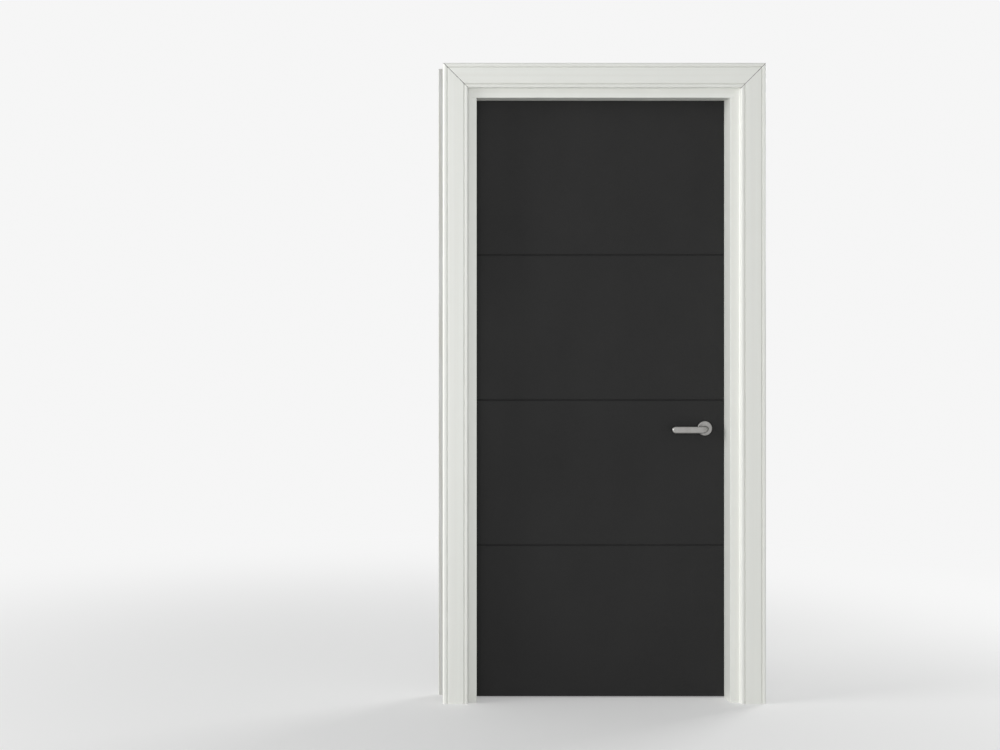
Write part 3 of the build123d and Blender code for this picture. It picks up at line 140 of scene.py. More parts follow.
# Floor of the studio, which isn't part of the door. Near the door it is a pale matt floor that takes
# its shadow, and further out it fades into the white surroundings.
FLOOR_SPAN = 60.0
FADE_START = 0.9
FADE_END = 4.5
FADE_LEAST = 0.3


def new_finish(name):
    """A material with its Principled shader wired to the output."""
    finish = bpy.data.materials.new(name)
    finish.use_nodes = True
    finish.node_tree.nodes.clear()
    shader = add_node(finish.node_tree, "BsdfPrincipled")
    add_node(finish.node_tree, "OutputMaterial", {0: shader.outputs[0]})
    return finish, finish.node_tree, shader


bpy.ops.mesh.primitive_plane_add(size=FLOOR_SPAN, location=(0, 0, 0))
studio_floor = bpy.context.object
studio_floor.name = "studio_floor"
floor_finish, tree, shader = new_finish("studio_floor")
shader.inputs["Base Color"].default_value = (0.85, 0.85, 0.84, 1)
shader.inputs["Roughness"].default_value = 0.7
shader.inputs["Specular IOR Level"].default_value = 0.2
place = add_node(tree, "TexCoord").outputs["Object"]
distance = add_node(tree, "VectorMath", {0: place}, operation="LENGTH").outputs["Value"]
far_off = add_node(
    tree,
    "MapRange",
    {"Value": distance, "From Min": FADE_START, "From Max": FADE_END, "To Min": FADE_LEAST},
    interpolation_type="SMOOTHERSTEP",
).outputs[0]
open_white = add_node(tree, "Emission", {"Color": (1, 1, 1, 1), "Strength": WHITE_AS_SEEN})
fade = sum_of(tree, "MULTIPLY", far_off, seen_directly(tree))
floor_mix = add_node(tree, "MixShader", {0: fade, 1: shader.outputs[0], 2: open_white.outputs[0]})
tree.links.new(floor_mix.outputs[0], tree.nodes["Material Output"].inputs[0])
studio_floor.data.materials.append(floor_finish)


# Lining: two legs and a head, each planed from one board with its stop, primed all over in the
# factory and brush-painted satin white where they show. The primer is left as it is towards the wall.
def shader_group(name, inputs, outputs):
    """An empty node group with named sockets, and its two end nodes."""
    group = bpy.data.node_groups.new(name, "ShaderNodeTree")
    for label, kind, value in inputs:
        group.interface.new_socket(label, in_out="INPUT", socket_type=kind).default_value = value
    for label, kind in outputs:
        group.interface.new_socket(label, in_out="OUTPUT", socket_type=kind)
    return group, group.nodes.new("NodeGroupInput").outputs, group.nodes.new("NodeGroupOutput").inputs


def use_group(tree, group, inputs):
    """The outputs of a node group placed in a material with its own values."""
    made = add_node(tree, "Group", node_tree=group)
    for socket, value in inputs.items():
        if isinstance(value, bpy.types.NodeSocket):
            tree.links.new(value, made.inputs[socket])
        else:
            made.inputs[socket].default_value = value
    return made.outputs


def mixed(tree, factor, first, second):
    """A colour between two others."""
    return add_node(tree, "Mix", {0: factor, 6: first, 7: second}, data_type="RGBA").outputs[2]


def spread(tree, value, low, high, to_low=0.0, to_high=1.0):
    """A value read on another scale and held within it."""
    return add_node(
        tree,
        "MapRange",
        {"Value": value, "From Min": low, "From Max": high, "To Min": to_low, "To Max": to_high},
    ).outputs[0]


def scaled_place(tree, stretch):
    """Object coordinates, stretched by a vector."""
    place = add_node(tree, "TexCoord").outputs["Object"]
    return add_node(tree, "VectorMath", {0: place, 1: stretch}, operation="MULTIPLY").outputs[0]


# Brush strokes: fine ridges that the brush leaves along a piece, and slow changes of tone
brush_strokes, given, result = shader_group(
    "brush_strokes",
    [("Stretch", "NodeSocketVector", (1, 1, 1))],
    [("Height", "NodeSocketFloat"), ("Tone", "NodeSocketFloat")],
)
stroke_place = scaled_place(brush_strokes, given["Stretch"])
bristles = add_node(
    brush_strokes, "TexNoise", {"Vector": stroke_place, "Scale": 1.0, "Detail": 3.0, "Roughness": 0.6}
).outputs[0]
lap_marks = add_node(
    brush_strokes, "TexNoise", {"Vector": stroke_place, "Scale": 0.08, "Detail": 3.0}
).outputs[0]
brush_strokes.links.new(bristles, result["Height"])
brush_strokes.links.new(lap_marks, result["Tone"])

# Timber grain: growth rings drawn out along the piece, with fine pores
timber_grain, given, result = shader_group(
    "timber_grain",
    [("Stretch", "NodeSocketVector", (1, 1, 1))],
    [("Tone", "NodeSocketFloat"), ("Height", "NodeSocketFloat")],
)
grain_place = scaled_place(timber_grain, given["Stretch"])
drift = add_node(
    timber_grain, "TexNoise", {"Vector": grain_place, "Scale": 0.8, "Detail": 2.0}
).outputs[1]
bent_place = add_node(
    timber_grain, "VectorMath", {0: grain_place, 1: drift}, operation="ADD"
).outputs[0]
rings = add_node(
    timber_grain,
    "TexWave",
    {"Vector": bent_place, "Scale": 1.1, "Distortion": 3.0, "Detail": 3.0, "Detail Scale": 1.6},
    bands_direction="DIAGONAL",
).outputs[1]
pores = add_node(
    timber_grain, "TexNoise", {"Vector": grain_place, "Scale": 14.0, "Detail": 4.0}
).outputs[0]
timber_grain.links.new(
    sum_of(timber_grain, "MULTIPLY_ADD", pores, 0.35, sum_of(timber_grain, "MULTIPLY", rings, 0.65)),
    result["Tone"],
)
timber_grain.links.new(pores, result["Height"])

PAINT_WHITE = (0.735, 0.742, 0.705, 1)
PAINT_SHADE = (0.705, 0.709, 0.668, 1)
PRIMER = (0.60, 0.605, 0.60, 1)
PRIMER_THIN = (0.54, 0.535, 0.50, 1)
OPEN_JOINT = (0.11, 0.105, 0.10, 1)
SATIN_PAINT = (0.36, 0.46)
PRIMER_ROUGHER = 0.4
STROKE_RIDGE = 0.0002


def place_parts(tree):
    """Object coordinates as three values, with X also without its sign."""
    place = add_node(tree, "TexCoord").outputs["Object"]
    parts = add_node(tree, "SeparateXYZ", {0: place}).outputs
    return sum_of(tree, "ABSOLUTE", parts[0]), parts[1], parts[2]


def white_paint(name, strokes, grain):
    """Brushed satin white over primer. The caller wires where primer and joints show."""
    finish, tree, shader = new_finish(name)
    brushed = use_group(tree, brush_strokes, {"Stretch": strokes})
    timber = use_group(tree, timber_grain, {"Stretch": grain})
    painted = mixed(tree, spread(tree, brushed["Tone"], 0.35, 0.75), PAINT_WHITE, PAINT_SHADE)
    primed = mixed(tree, timber["Tone"], PRIMER, PRIMER_THIN)
    joint = add_node(tree, "Math", {0: 0.0, 1: 0.0}, operation="MAXIMUM")
    wall_side = add_node(tree, "Math", {0: 0.0, 1: 0.0}, operation="MAXIMUM")
    painted = mixed(tree, joint.outputs[0], painted, OPEN_JOINT)
    tree.links.new(mixed(tree, wall_side.outputs[0], painted, primed), shader.inputs["Base Color"])
    gloss = spread(tree, brushed["Tone"], 0.3, 0.8, *SATIN_PAINT)
    rough = sum_of(tree, "MULTIPLY_ADD", wall_side.outputs[0], PRIMER_ROUGHER, gloss)
    tree.links.new(rough, shader.inputs["Roughness"])
    relief = sum_of(tree, "SUBTRACT", brushed["Height"], joint.outputs[0])
    bump = add_node(tree, "Bump", {"Strength": 0.6, "Distance": STROKE_RIDGE, "Height": relief})
    tree.links.new(bump.outputs[0], shader.inputs["Normal"])
    return finish, tree, joint, wall_side


def cover(finish, *names):
    """Gives CAD nodes a material."""
    for name in names:
        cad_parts[name].data.materials.clear()
        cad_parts[name].data.materials.append(finish)


LEG_STROKES = (800.0, 800.0, 6.0)
HEAD_STROKES = (6.0, 800.0, 800.0)
LEG_GRAIN = (34.0, 34.0, 1.3)
HEAD_GRAIN = (1.3, 34.0, 34.0)
LINING_BACK_X = 0.4838
LINING_TOP_Z = 2.1388
LINING_MID_Y = -0.0135
PAINT_REACH = 0.0575
PAINT_RAG = 0.004

for name, strokes, grain, nodes in (
    ("lining_leg_paint", LEG_STROKES, LEG_GRAIN, ("lining_leg_hinge", "lining_leg_lock")),
    ("lining_head_paint", HEAD_STROKES, HEAD_GRAIN, ("lining_head",)),
):
    lining_paint, tree, joint, wall_side = white_paint(name, strokes, grain)
    across, through, up = place_parts(tree)
    # Paint laps a few ragged millimetres round the edges on to the side towards the wall
    ragged = add_node(tree, "TexNoise", {"Scale": 60.0, "Detail": 3.0})
    tree.links.new(add_node(tree, "TexCoord").outputs["Object"], ragged.inputs["Vector"])
    from_middle = sum_of(tree, "ABSOLUTE", sum_of(tree, "SUBTRACT", through, LINING_MID_Y))
    lapped = sum_of(tree, "MULTIPLY_ADD", ragged.outputs[0], PAINT_RAG, from_middle)
    inside_lap = sum_of(tree, "LESS_THAN", lapped, PAINT_REACH + PAINT_RAG / 2)
    outer = sum_of(
        tree,
        "MAXIMUM",
        sum_of(tree, "GREATER_THAN", across, LINING_BACK_X),
        sum_of(tree, "GREATER_THAN", up, LINING_TOP_Z),
    )
    tree.links.new(sum_of(tree, "MULTIPLY", outer, inside_lap), wall_side.inputs[0])
    cover(lining_paint, *nodes)

# Architrave: one primed moulding with a bead along each edge, mitred at the corners and nailed on.
# It has the lining's paint, with a hairline where each mitre has opened, a shallow dimple over each
# filled nail head, and primer on its back.
MITRE_X = 0.472
MITRE_Z = 2.127
MITRE_GAP = (0.0009, 0.0017)
NAIL_LINE = 0.043
NAIL_PITCH = 0.36
NAIL_HEAD_R = 0.0016
NAIL_SINK = 0.0003

for name, strokes, grain, sides in (
    ("architrave_leg_paint", LEG_STROKES, LEG_GRAIN, ("left", "right")),
    ("architrave_head_paint", HEAD_STROKES, HEAD_GRAIN, ("head",)),
):
    architrave_paint, tree, joint, wall_side = white_paint(name, strokes, grain)
    across, through, up = place_parts(tree)
    past_corner = sum_of(tree, "SUBTRACT", across, MITRE_X)
    above_corner = sum_of(tree, "SUBTRACT", up, MITRE_Z)
    off_mitre = sum_of(tree, "ABSOLUTE", sum_of(tree, "SUBTRACT", past_corner, above_corner))
    ragged = add_node(tree, "TexNoise", {"Scale": 90.0, "Detail": 2.0})
    tree.links.new(add_node(tree, "TexCoord").outputs["Object"], ragged.inputs["Vector"])
    gap = spread(tree, ragged.outputs[0], 0.35, 0.65, *MITRE_GAP)
    tree.links.new(sum_of(tree, "LESS_THAN", off_mitre, gap), joint.inputs[0])
    if "head" in sides:
        off_line, along = sum_of(tree, "SUBTRACT", up, MITRE_Z + NAIL_LINE), across
    else:
        off_line, along = sum_of(tree, "SUBTRACT", across, MITRE_X + NAIL_LINE), up
    off_nail = sum_of(tree, "SUBTRACT", sum_of(tree, "PINGPONG", along, NAIL_PITCH / 2), NAIL_PITCH / 4)
    reach = sum_of(
        tree,
        "SQRT",
        sum_of(tree, "MULTIPLY_ADD", off_line, off_line, sum_of(tree, "MULTIPLY", off_nail, off_nail)),
    )
    dimple = spread(tree, reach, NAIL_HEAD_R, NAIL_HEAD_R * 0.7, 0.0, 1.0)
    brush_bump = tree.nodes["Bump"]
    nail_bump = add_node(
        tree, "Bump", {"Strength": 0.5, "Distance": NAIL_SINK, "Height": dimple}, invert=True
    )
    tree.links.new(brush_bump.outputs[0], nail_bump.inputs["Normal"])
    tree.links.new(nail_bump.outputs[0], tree.nodes["Principled BSDF"].inputs["Normal"])
    surface_normal = add_node(tree, "NewGeometry").outputs["True Normal"]
    facing = add_node(tree, "SeparateXYZ", {0: surface_normal}).outputs[1]
    inward = sum_of(tree, "SIGN", sum_of(tree, "SUBTRACT", LINING_MID_Y, through))
    towards_wall = sum_of(tree, "GREATER_THAN", sum_of(tree, "MULTIPLY", facing, inward), 0.5)
    tree.links.new(towards_wall, wall_side.inputs[0])
    for face in ("front", "back"):
        cover(architrave_paint, *(f"architrave_{face}_{side}" for side in sides))


# Caulk: a bead of painter's caulk, smoothed with a finger, fills the corner between architrave and
# lining on both sides of the door. It is modelled once for a leg and once for the head, then mirrored.
CAULK_W = 0.0024
CAULK_HOLLOW = 0.97 * CAULK_W
CAULK_FACETS = 6
LINING_FRONT_Y = -0.0735
SMOOTH_UNDER = math.radians(40)


def caulk_bead(name, low, high, hollow_edge, finish):
    """A bead along a corner: a bar whose outer edge is hollowed out."""
    bpy.ops.mesh.primitive_cube_add(size=1, location=[(a + b) / 2 for a, b in zip(low, high)])
    bead = bpy.context.object
    bead.name = name
    bead.scale = [b - a for a, b in zip(low, high)]
    bpy.ops.object.transform_apply(location=True, rotation=True, scale=True)
    bpy.ops.object.mode_set(mode="EDIT")
    bpy.ops.mesh.select_all(action="DESELECT")
    bpy.ops.object.mode_set(mode="OBJECT")
    for edge in bead.data.edges:
        ends = [bead.data.vertices[index].co for index in edge.vertices]
        edge.select = all(hollow_edge(end) for end in ends)
    bpy.ops.object.mode_set(mode="EDIT")
    bpy.ops.mesh.select_mode(type="EDGE")
    bpy.ops.mesh.bevel(offset=CAULK_HOLLOW, segments=CAULK_FACETS, profile=0.12, affect="EDGES")
    bpy.ops.object.mode_set(mode="OBJECT")
    bpy.ops.object.shade_smooth_by_angle(angle=SMOOTH_UNDER)
    bead.data.materials.append(finish)
    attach(bead, "frame")
    return bead


def mirrored_bead(bead, name, flip, shift):
    """The same bead on the other side of the door."""
    bpy.ops.object.select_all(action="DESELECT")
    bead.select_set(True)
    bpy.context.view_layer.objects.active = bead
    bpy.ops.object.duplicate(linked=False)
    other = bpy.context.object
    other.name = name
    other.scale = flip
    other.location = (0, shift, 0)
    bpy.ops.object.transform_apply(location=True, rotation=True, scale=True)
    bpy.ops.object.mode_set(mode="EDIT")
    bpy.ops.mesh.select_all(action="SELECT")
    bpy.ops.mesh.normals_make_consistent(inside=False)
    bpy.ops.object.mode_set(mode="OBJECT")
    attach(other, "frame")


front_leg_bead = caulk_bead(
    "caulk_front_right",
    (MITRE_X - CAULK_W, LINING_FRONT_Y - CAULK_W, 0.0),
    (MITRE_X, LINING_FRONT_Y, MITRE_Z),
    lambda end: end.x < MITRE_X - CAULK_W / 2 and end.y < LINING_FRONT_Y - CAULK_W / 2,
    bpy.data.materials["lining_leg_paint"],
)
front_head_bead = caulk_bead(
    "caulk_front_head",
    (-MITRE_X, LINING_FRONT_Y - CAULK_W, MITRE_Z - CAULK_W),
    (MITRE_X, LINING_FRONT_Y, MITRE_Z),
    lambda end: end.z < MITRE_Z - CAULK_W / 2 and end.y < LINING_FRONT_Y - CAULK_W / 2,
    bpy.data.materials["lining_head_paint"],
)
mirrored_bead(front_leg_bead, "caulk_front_left", (-1, 1, 1), 0.0)
mirrored_bead(front_leg_bead, "caulk_back_right", (1, -1, 1), 2 * LINING_MID_Y)
mirrored_bead(front_leg_bead, "caulk_back_left", (-1, -1, 1), 2 * LINING_MID_Y)
mirrored_bead(front_head_bead, "caulk_back_head", (1, -1, 1), 2 * LINING_MID_Y)


# Leaf: fibreboard facings with three grooves on a softwood frame, rolled with matt charcoal paint
# that leaves a fine stipple and goes over the edges as well.
roller_stipple, given, result = shader_group(
    "roller_stipple",
    [("Scale", "NodeSocketFloat", 500.0)],
    [("Height", "NodeSocketFloat"), ("Tone", "NodeSocketFloat"), ("Smears", "NodeSocketFloat")],
)
stipple_place = add_node(roller_stipple, "TexCoord").outputs["Object"]
nap = add_node(
    roller_stipple, "TexNoise", {"Vector": stipple_place, "Scale": given["Scale"], "Detail": 2.0}
).outputs[0]
cells = add_node(
    roller_stipple,
    "TexVoronoi",
    {"Vector": stipple_place, "Scale": given["Scale"], "Smoothness": 0.6},
    feature="SMOOTH_F1",
).outputs[0]
roller_stipple.links.new(sum_of(roller_stipple, "MULTIPLY_ADD", cells, 0.6, nap), result["Height"])
clouds = add_node(
    roller_stipple, "TexNoise", {"Vector": stipple_place, "Scale": 1.7, "Detail": 4.0, "Roughness": 0.55}
).outputs[0]
roller_stipple.links.new(clouds, result["Tone"])
wiped_place = scaled_place(roller_stipple, (6.0, 6.0, 1.6))
wiped = add_node(
    roller_stipple, "TexNoise", {"Vector": wiped_place, "Scale": 1.0, "Detail": 5.0}
).outputs[0]
roller_stipple.links.new(wiped, result["Smears"])

CHARCOAL = (0.0163, 0.0163, 0.0164, 1)
CHARCOAL_PALE = (0.0223, 0.0222, 0.0220, 1)
CHARCOAL_LINE = (0.006, 0.006, 0.006, 1)
MATT_PAINT = (0.50, 0.62)
STIPPLE_FINE = 430.0
STIPPLE_RIDGE = 0.00035
GRIP = (0.33, 0.0, 0.945)
RUBBED_REACH = (0.20, 0.06)
RUBBED_SMOOTHER = 0.16


def charcoal_paint(name):
    """Rolled matt charcoal, rubbed smoother by hands round the lever. The caller may wire a joint."""
    finish, tree, shader = new_finish(name)
    rolled = use_group(tree, roller_stipple, {"Scale": STIPPLE_FINE})
    joint = add_node(tree, "Math", {0: 0.0, 1: 0.0}, operation="MAXIMUM")
    mottle = sum_of(tree, "MULTIPLY_ADD", rolled["Height"], 0.45, rolled["Tone"])
    tone = mixed(tree, spread(tree, mottle, 0.55, 1.15), CHARCOAL, CHARCOAL_PALE)
    tree.links.new(mixed(tree, joint.outputs[0], tone, CHARCOAL_LINE), shader.inputs["Base Color"])
    flat_place = scaled_place(tree, (1.0, 0.0, 1.0))
    from_grip = add_node(
        tree, "VectorMath", {0: flat_place, 1: GRIP}, operation="DISTANCE"
    ).outputs["Value"]
    rubbed = sum_of(tree, "MULTIPLY", spread(tree, from_grip, *RUBBED_REACH), rolled["Smears"])
    matt = spread(tree, rolled["Smears"], 0.3, 0.75, *MATT_PAINT)
    rough = sum_of(tree, "MULTIPLY_ADD", rubbed, -RUBBED_SMOOTHER, matt)
    tree.links.new(rough, shader.inputs["Roughness"])
    shader.inputs["Specular IOR Level"].default_value = 0.13
    relief = sum_of(tree, "SUBTRACT", rolled["Height"], joint.outputs[0])
    bump = add_node(tree, "Bump", {"Strength": 0.6, "Distance": STIPPLE_RIDGE, "Height": relief})
    tree.links.new(bump.outputs[0], shader.inputs["Normal"])
    return finish, tree, joint


facing_paint, tree, joint = charcoal_paint("facing_paint")
cover(facing_paint, "facing_front", "facing_back")

# The edges show the glue line between facing and stile as a hairline under the paint
LEAF_MID_Y = 0.0255
GLUE_LINE = 0.0140
GLUE_LINE_W = 0.0002
edge_paint, tree, joint = charcoal_paint("edge_paint")
across, through, up = place_parts(tree)
off_middle = sum_of(tree, "ABSOLUTE", sum_of(tree, "SUBTRACT", through, LEAF_MID_Y))
off_glue = sum_of(tree, "ABSOLUTE", sum_of(tree, "SUBTRACT", off_middle, GLUE_LINE))
tree.links.new(sum_of(tree, "LESS_THAN", off_glue, GLUE_LINE_W), joint.inputs[0])
cover(edge_paint, "stile_hinge", "stile_lock", "rail_top", "rail_bottom")

# Core of the leaf: a slab of chipboard, with a softwood block let in where the latch goes.
# Both are bare, and the facings hide them.
CHIP_PALE = (0.52, 0.38, 0.22, 1)
CHIP_DARK = (0.28, 0.18, 0.09, 1)
CHIP_FINE = 260.0
SOFTWOOD_PALE = (0.62, 0.42, 0.22, 1)
SOFTWOOD_DARK = (0.42, 0.24, 0.10, 1)

chipboard, tree, shader = new_finish("chipboard")
flakes = add_node(tree, "TexVoronoi", {"Scale": CHIP_FINE, "Randomness": 1.0})
tree.links.new(scaled_place(tree, (1.0, 0.5, 1.0)), flakes.inputs["Vector"])
flake_tone = add_node(tree, "SeparateColor", {0: flakes.outputs[1]}).outputs[0]
flake_colour = mixed(tree, flake_tone, CHIP_PALE, CHIP_DARK)
tree.links.new(flake_colour, shader.inputs["Base Color"])
shader.inputs["Roughness"].default_value = 0.85
bump = add_node(tree, "Bump", {"Strength": 0.6, "Distance": 0.0003, "Height": flakes.outputs[0]})
tree.links.new(bump.outputs[0], shader.inputs["Normal"])
cover(chipboard, "core")

bare_timber, tree, shader = new_finish("bare_timber")
timber = use_group(tree, timber_grain, {"Stretch": LEG_GRAIN})
grain_colour = mixed(tree, timber["Tone"], SOFTWOOD_PALE, SOFTWOOD_DARK)
tree.links.new(grain_colour, shader.inputs["Base Color"])
shader.inputs["Roughness"].default_value = 0.75
bump = add_node(tree, "Bump", {"Strength": 0.4, "Distance": 0.0002, "Height": timber["Height"]})
tree.links.new(bump.outputs[0], shader.inputs["Normal"])
cover(bare_timber, "lock_block")


# Hinges: three butt hinges of satin stainless steel, their plates let in flush, with the grain of the
# polishing belt along the knuckles. The pins are turned from the same steel.
metal_grain, given, result = shader_group(
    "metal_grain",
    [("Place", "NodeSocketVector", (0, 0, 0))],
    [("Height", "NodeSocketFloat"), ("Gloss", "NodeSocketFloat"), ("Tone", "NodeSocketFloat")],
)
scratches = add_node(
    metal_grain, "TexNoise", {"Vector": given["Place"], "Scale": 1.0, "Detail": 4.0, "Roughness": 0.7}
).outputs[0]
handling = add_node(metal_grain, "TexNoise", {"Scale": 45.0, "Detail": 4.0, "Roughness": 0.6})
metal_grain.links.new(add_node(metal_grain, "TexCoord").outputs["Object"], handling.inputs["Vector"])
metal_grain.links.new(scratches, result["Height"])
for label, share in (("Gloss", 0.5), ("Tone", 0.6)):
    handled = sum_of(metal_grain, "MULTIPLY", handling.outputs[0], 1 - share)
    metal_grain.links.new(sum_of(metal_grain, "MULTIPLY_ADD", scratches, share, handled), result[label])


def satin_metal(name, grain_place, pale, deep, gloss, ridge):
    """Brushed metal: grain_place wires the coordinates that its scratches follow."""
    finish, tree, shader = new_finish(name)
    grain = use_group(tree, metal_grain, {"Place": grain_place(tree)})
    tone = spread(tree, grain["Tone"], 0.35, 0.65)
    tree.links.new(mixed(tree, tone, pale, deep), shader.inputs["Base Color"])
    shader.inputs["Metallic"].default_value = 1.0
    tree.links.new(spread(tree, grain["Gloss"], 0.25, 0.75, *gloss), shader.inputs["Roughness"])
    bump = add_node(tree, "Bump", {"Strength": 0.35, "Distance": ridge, "Height": grain["Height"]})
    tree.links.new(bump.outputs[0], shader.inputs["Normal"])
    return finish


HINGE_PLACES = ("low", "mid", "top")
hinge_steel = satin_metal(
    "hinge_steel",
    grain_place=lambda tree: scaled_place(tree, (1300.0, 1300.0, 22.0)),
    pale=(0.53, 0.53, 0.52, 1),
    deep=(0.40, 0.40, 0.395, 1),
    gloss=(0.26, 0.44),
    ridge=0.00008,
)
for piece in ("frame_plate", "leaf_plate"):
    cover(hinge_steel, *(f"hinge_{at}_{piece}" for at in HINGE_PLACES))
pin_steel = satin_metal(
    "pin_steel",
    grain_place=lambda tree: scaled_place(tree, (60.0, 60.0, 3000.0)),
    pale=(0.55, 0.55, 0.54, 1),
    deep=(0.47, 0.47, 0.465, 1),
    gloss=(0.22, 0.34),
    ridge=0.00003,
)
cover(pin_steel, *(f"hinge_{at}_pin" for at in HINGE_PLACES))

# Screws: zinc-plated steel with cross recesses, slightly blue from the plating and scratched
# by the driver.
zinc_plate = satin_metal(
    "zinc_plate",
    grain_place=lambda tree: scaled_place(tree, (900.0, 900.0, 900.0)),
    pale=(0.46, 0.47, 0.49, 1),
    deep=(0.36, 0.37, 0.38, 1),
    gloss=(0.25, 0.45),
    ridge=0.00003,
)
cover(
    zinc_plate,
    "hinge_frame_screws",
    "hinge_leaf_screws",
    "head_screws",
    "forend_screws",
    "strike_screws",
    "grub_screws",
    "rose_bolts",
    "rose_bolt_sleeves",
)

# Latch: forend, strike plate and bolt, which show at the edge of the open leaf and in the rebate.
# They are of satin nickel, brushed along the edge of the leaf.
latch_nickel = satin_metal(
    "latch_nickel",
    grain_place=lambda tree: scaled_place(tree, (1300.0, 1300.0, 25.0)),
    pale=(0.49, 0.475, 0.45, 1),
    deep=(0.37, 0.355, 0.335, 1),
    gloss=(0.28, 0.46),
    ridge=0.00008,
)
cover(latch_nickel, "latch_forend", "strike_plate", "latch_bolt")

# Latch case and its cover are pressed from galvanised sheet, with the large crystals of the zinc.
# The follower, the spindle and the springs work inside it and in the roses.
CRYSTAL_PALE = (0.40, 0.42, 0.44, 1)
CRYSTAL_DEEP = (0.34, 0.355, 0.37, 1)
CRYSTAL_FINE = 240.0

galvanised, tree, shader = new_finish("galvanised")
crystals = add_node(tree, "TexVoronoi", {"Scale": CRYSTAL_FINE})
tree.links.new(add_node(tree, "TexCoord").outputs["Object"], crystals.inputs["Vector"])
crystal_tone = add_node(tree, "SeparateColor", {0: crystals.outputs[1]}).outputs[0]
crystal_colour = mixed(tree, crystal_tone, CRYSTAL_PALE, CRYSTAL_DEEP)
tree.links.new(crystal_colour, shader.inputs["Base Color"])
tree.links.new(spread(tree, crystal_tone, 0.0, 1.0, 0.42, 0.54), shader.inputs["Roughness"])
shader.inputs["Metallic"].default_value = 1.0
cover(galvanised, "latch_case", "latch_cover")

spring_steel = satin_metal(
    "spring_steel",
    grain_place=lambda tree: scaled_place(tree, (700.0, 700.0, 700.0)),
    pale=(0.24, 0.24, 0.25, 1),
    deep=(0.16, 0.16, 0.17, 1),
    gloss=(0.30, 0.50),
    ridge=0.00003,
)
cover(spring_steel, "return_spring_front", "return_spring_back", "latch_follower", "spindle")

# Spring of the latch: a coil of hard-drawn wire round the rod of the bolt, which presses it together
# as the bolt goes in. This one stands for the CAD spring, which is hidden.
SPRING_WIRE_R = 0.0005
SPRING_COIL_R = 0.0042
SPRING_TURNS = 6
WIRE_SIDES = 14
COIL_STEPS = 40

spring_low, spring_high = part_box("latch_spring")
spring_length = spring_high[0] - spring_low[0]
spring_start = (
    spring_low[0] + SPRING_WIRE_R,
    (spring_low[1] + spring_high[1]) / 2,
    (spring_low[2] + spring_high[2]) / 2,
)
bpy.ops.object.select_all(action="DESELECT")
bpy.ops.mesh.primitive_circle_add(
    vertices=WIRE_SIDES,
    radius=SPRING_WIRE_R,
    location=(0, 0, SPRING_COIL_R),
    rotation=(math.radians(90), 0, 0),
)
bolt_spring = bpy.context.object
bolt_spring.name = "bolt_spring"
bpy.ops.object.transform_apply(location=True, rotation=True, scale=True)
coil = bolt_spring.modifiers.new("coil", "SCREW")
coil.axis = "X"
coil.iterations = SPRING_TURNS
coil.screw_offset = (spring_length - 2 * SPRING_WIRE_R) / SPRING_TURNS
coil.steps = COIL_STEPS
coil.render_steps = COIL_STEPS
bpy.ops.object.modifier_apply(modifier="coil")
bolt_spring.location = spring_start
bpy.ops.object.transform_apply(location=True, rotation=True, scale=True)
bpy.ops.object.mode_set(mode="EDIT")
bpy.ops.mesh.select_all(action="SELECT")
bpy.ops.mesh.fill_holes(sides=WIRE_SIDES)
bpy.ops.mesh.select_all(action="SELECT")
bpy.ops.mesh.normals_make_consistent(inside=False)
bpy.ops.object.mode_set(mode="OBJECT")
bpy.ops.object.shade_smooth_by_angle(angle=SMOOTH_UNDER)
bolt_spring.data.materials.append(spring_steel)
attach(bolt_spring, "leaf")
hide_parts("latch_spring")
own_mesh(bolt_spring)

# Dust box behind the strike plate and the bases of the roses are moulded in black nylon,
# with the fine grain of the mould.
NYLON_BLACK = (0.020, 0.020, 0.020, 1)
NYLON_PALE = (0.035, 0.035, 0.034, 1)
MOULD_GRAIN = 1800.0

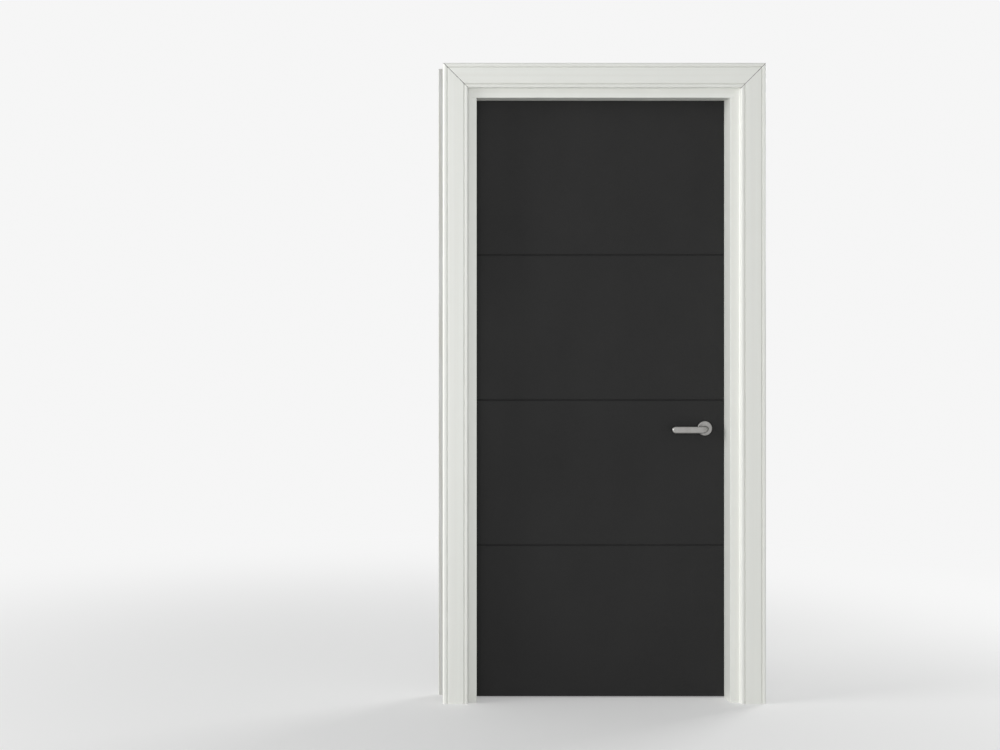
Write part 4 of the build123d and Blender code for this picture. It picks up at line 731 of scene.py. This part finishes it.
black_nylon, tree, shader = new_finish("black_nylon")
moulded = use_group(tree, roller_stipple, {"Scale": MOULD_GRAIN})
nylon_colour = mixed(tree, moulded["Tone"], NYLON_BLACK, NYLON_PALE)
tree.links.new(nylon_colour, shader.inputs["Base Color"])
tree.links.new(spread(tree, moulded["Smears"], 0.3, 0.7, 0.45, 0.6), shader.inputs["Roughness"])
bump = add_node(tree, "Bump", {"Strength": 0.3, "Distance": 0.00006, "Height": moulded["Height"]})
tree.links.new(bump.outputs[0], shader.inputs["Normal"])
cover(black_nylon, "dust_box", "rose_base_front", "rose_base_back")

# Roses: round covers pressed from sheet and nickel-plated. They are brushed on a lathe, so that
# their satin runs in circles round the neck of the lever.
SPINDLE_X = 0.370
SPINDLE_Z = 0.945
CIRCLES_FINE = 1500.0


def round_the_spindle(tree):
    """Coordinates of scratches that run in circles round the spindle."""
    place = add_node(tree, "TexCoord").outputs["Object"]
    parts = add_node(tree, "SeparateXYZ", {0: place}).outputs
    across = sum_of(tree, "SUBTRACT", parts[0], SPINDLE_X)
    up = sum_of(tree, "SUBTRACT", parts[2], SPINDLE_Z)
    radius = sum_of(
        tree, "SQRT", sum_of(tree, "MULTIPLY_ADD", across, across, sum_of(tree, "MULTIPLY", up, up))
    )
    turn = sum_of(tree, "ARCTAN2", up, across)
    turned = add_node(
        tree,
        "CombineXYZ",
        {
            0: sum_of(tree, "MULTIPLY", radius, CIRCLES_FINE),
            1: sum_of(tree, "MULTIPLY", parts[1], CIRCLES_FINE),
            2: sum_of(tree, "MULTIPLY", sum_of(tree, "SINE", turn), 2.0),
        },
    )
    return turned.outputs[0]


rose_nickel = satin_metal(
    "rose_nickel",
    grain_place=round_the_spindle,
    pale=(0.35, 0.345, 0.335, 1),
    deep=(0.25, 0.245, 0.237, 1),
    gloss=(0.28, 0.44),
    ridge=0.00007,
)
cover(rose_nickel, "rose_cover_front", "rose_cover_back")

# Levers: one on each side of the leaf, cast in zinc and nickel-plated, and brushed along the grip.
# The far one is the near one's mirror image.
lever_nickel = satin_metal(
    "lever_nickel",
    grain_place=lambda tree: scaled_place(tree, (25.0, 1300.0, 1300.0)),
    pale=(0.365, 0.36, 0.35, 1),
    deep=(0.265, 0.26, 0.25, 1),
    gloss=(0.28, 0.44),
    ridge=0.00008,
)
cover(lever_nickel, "lever_front", "lever_back")
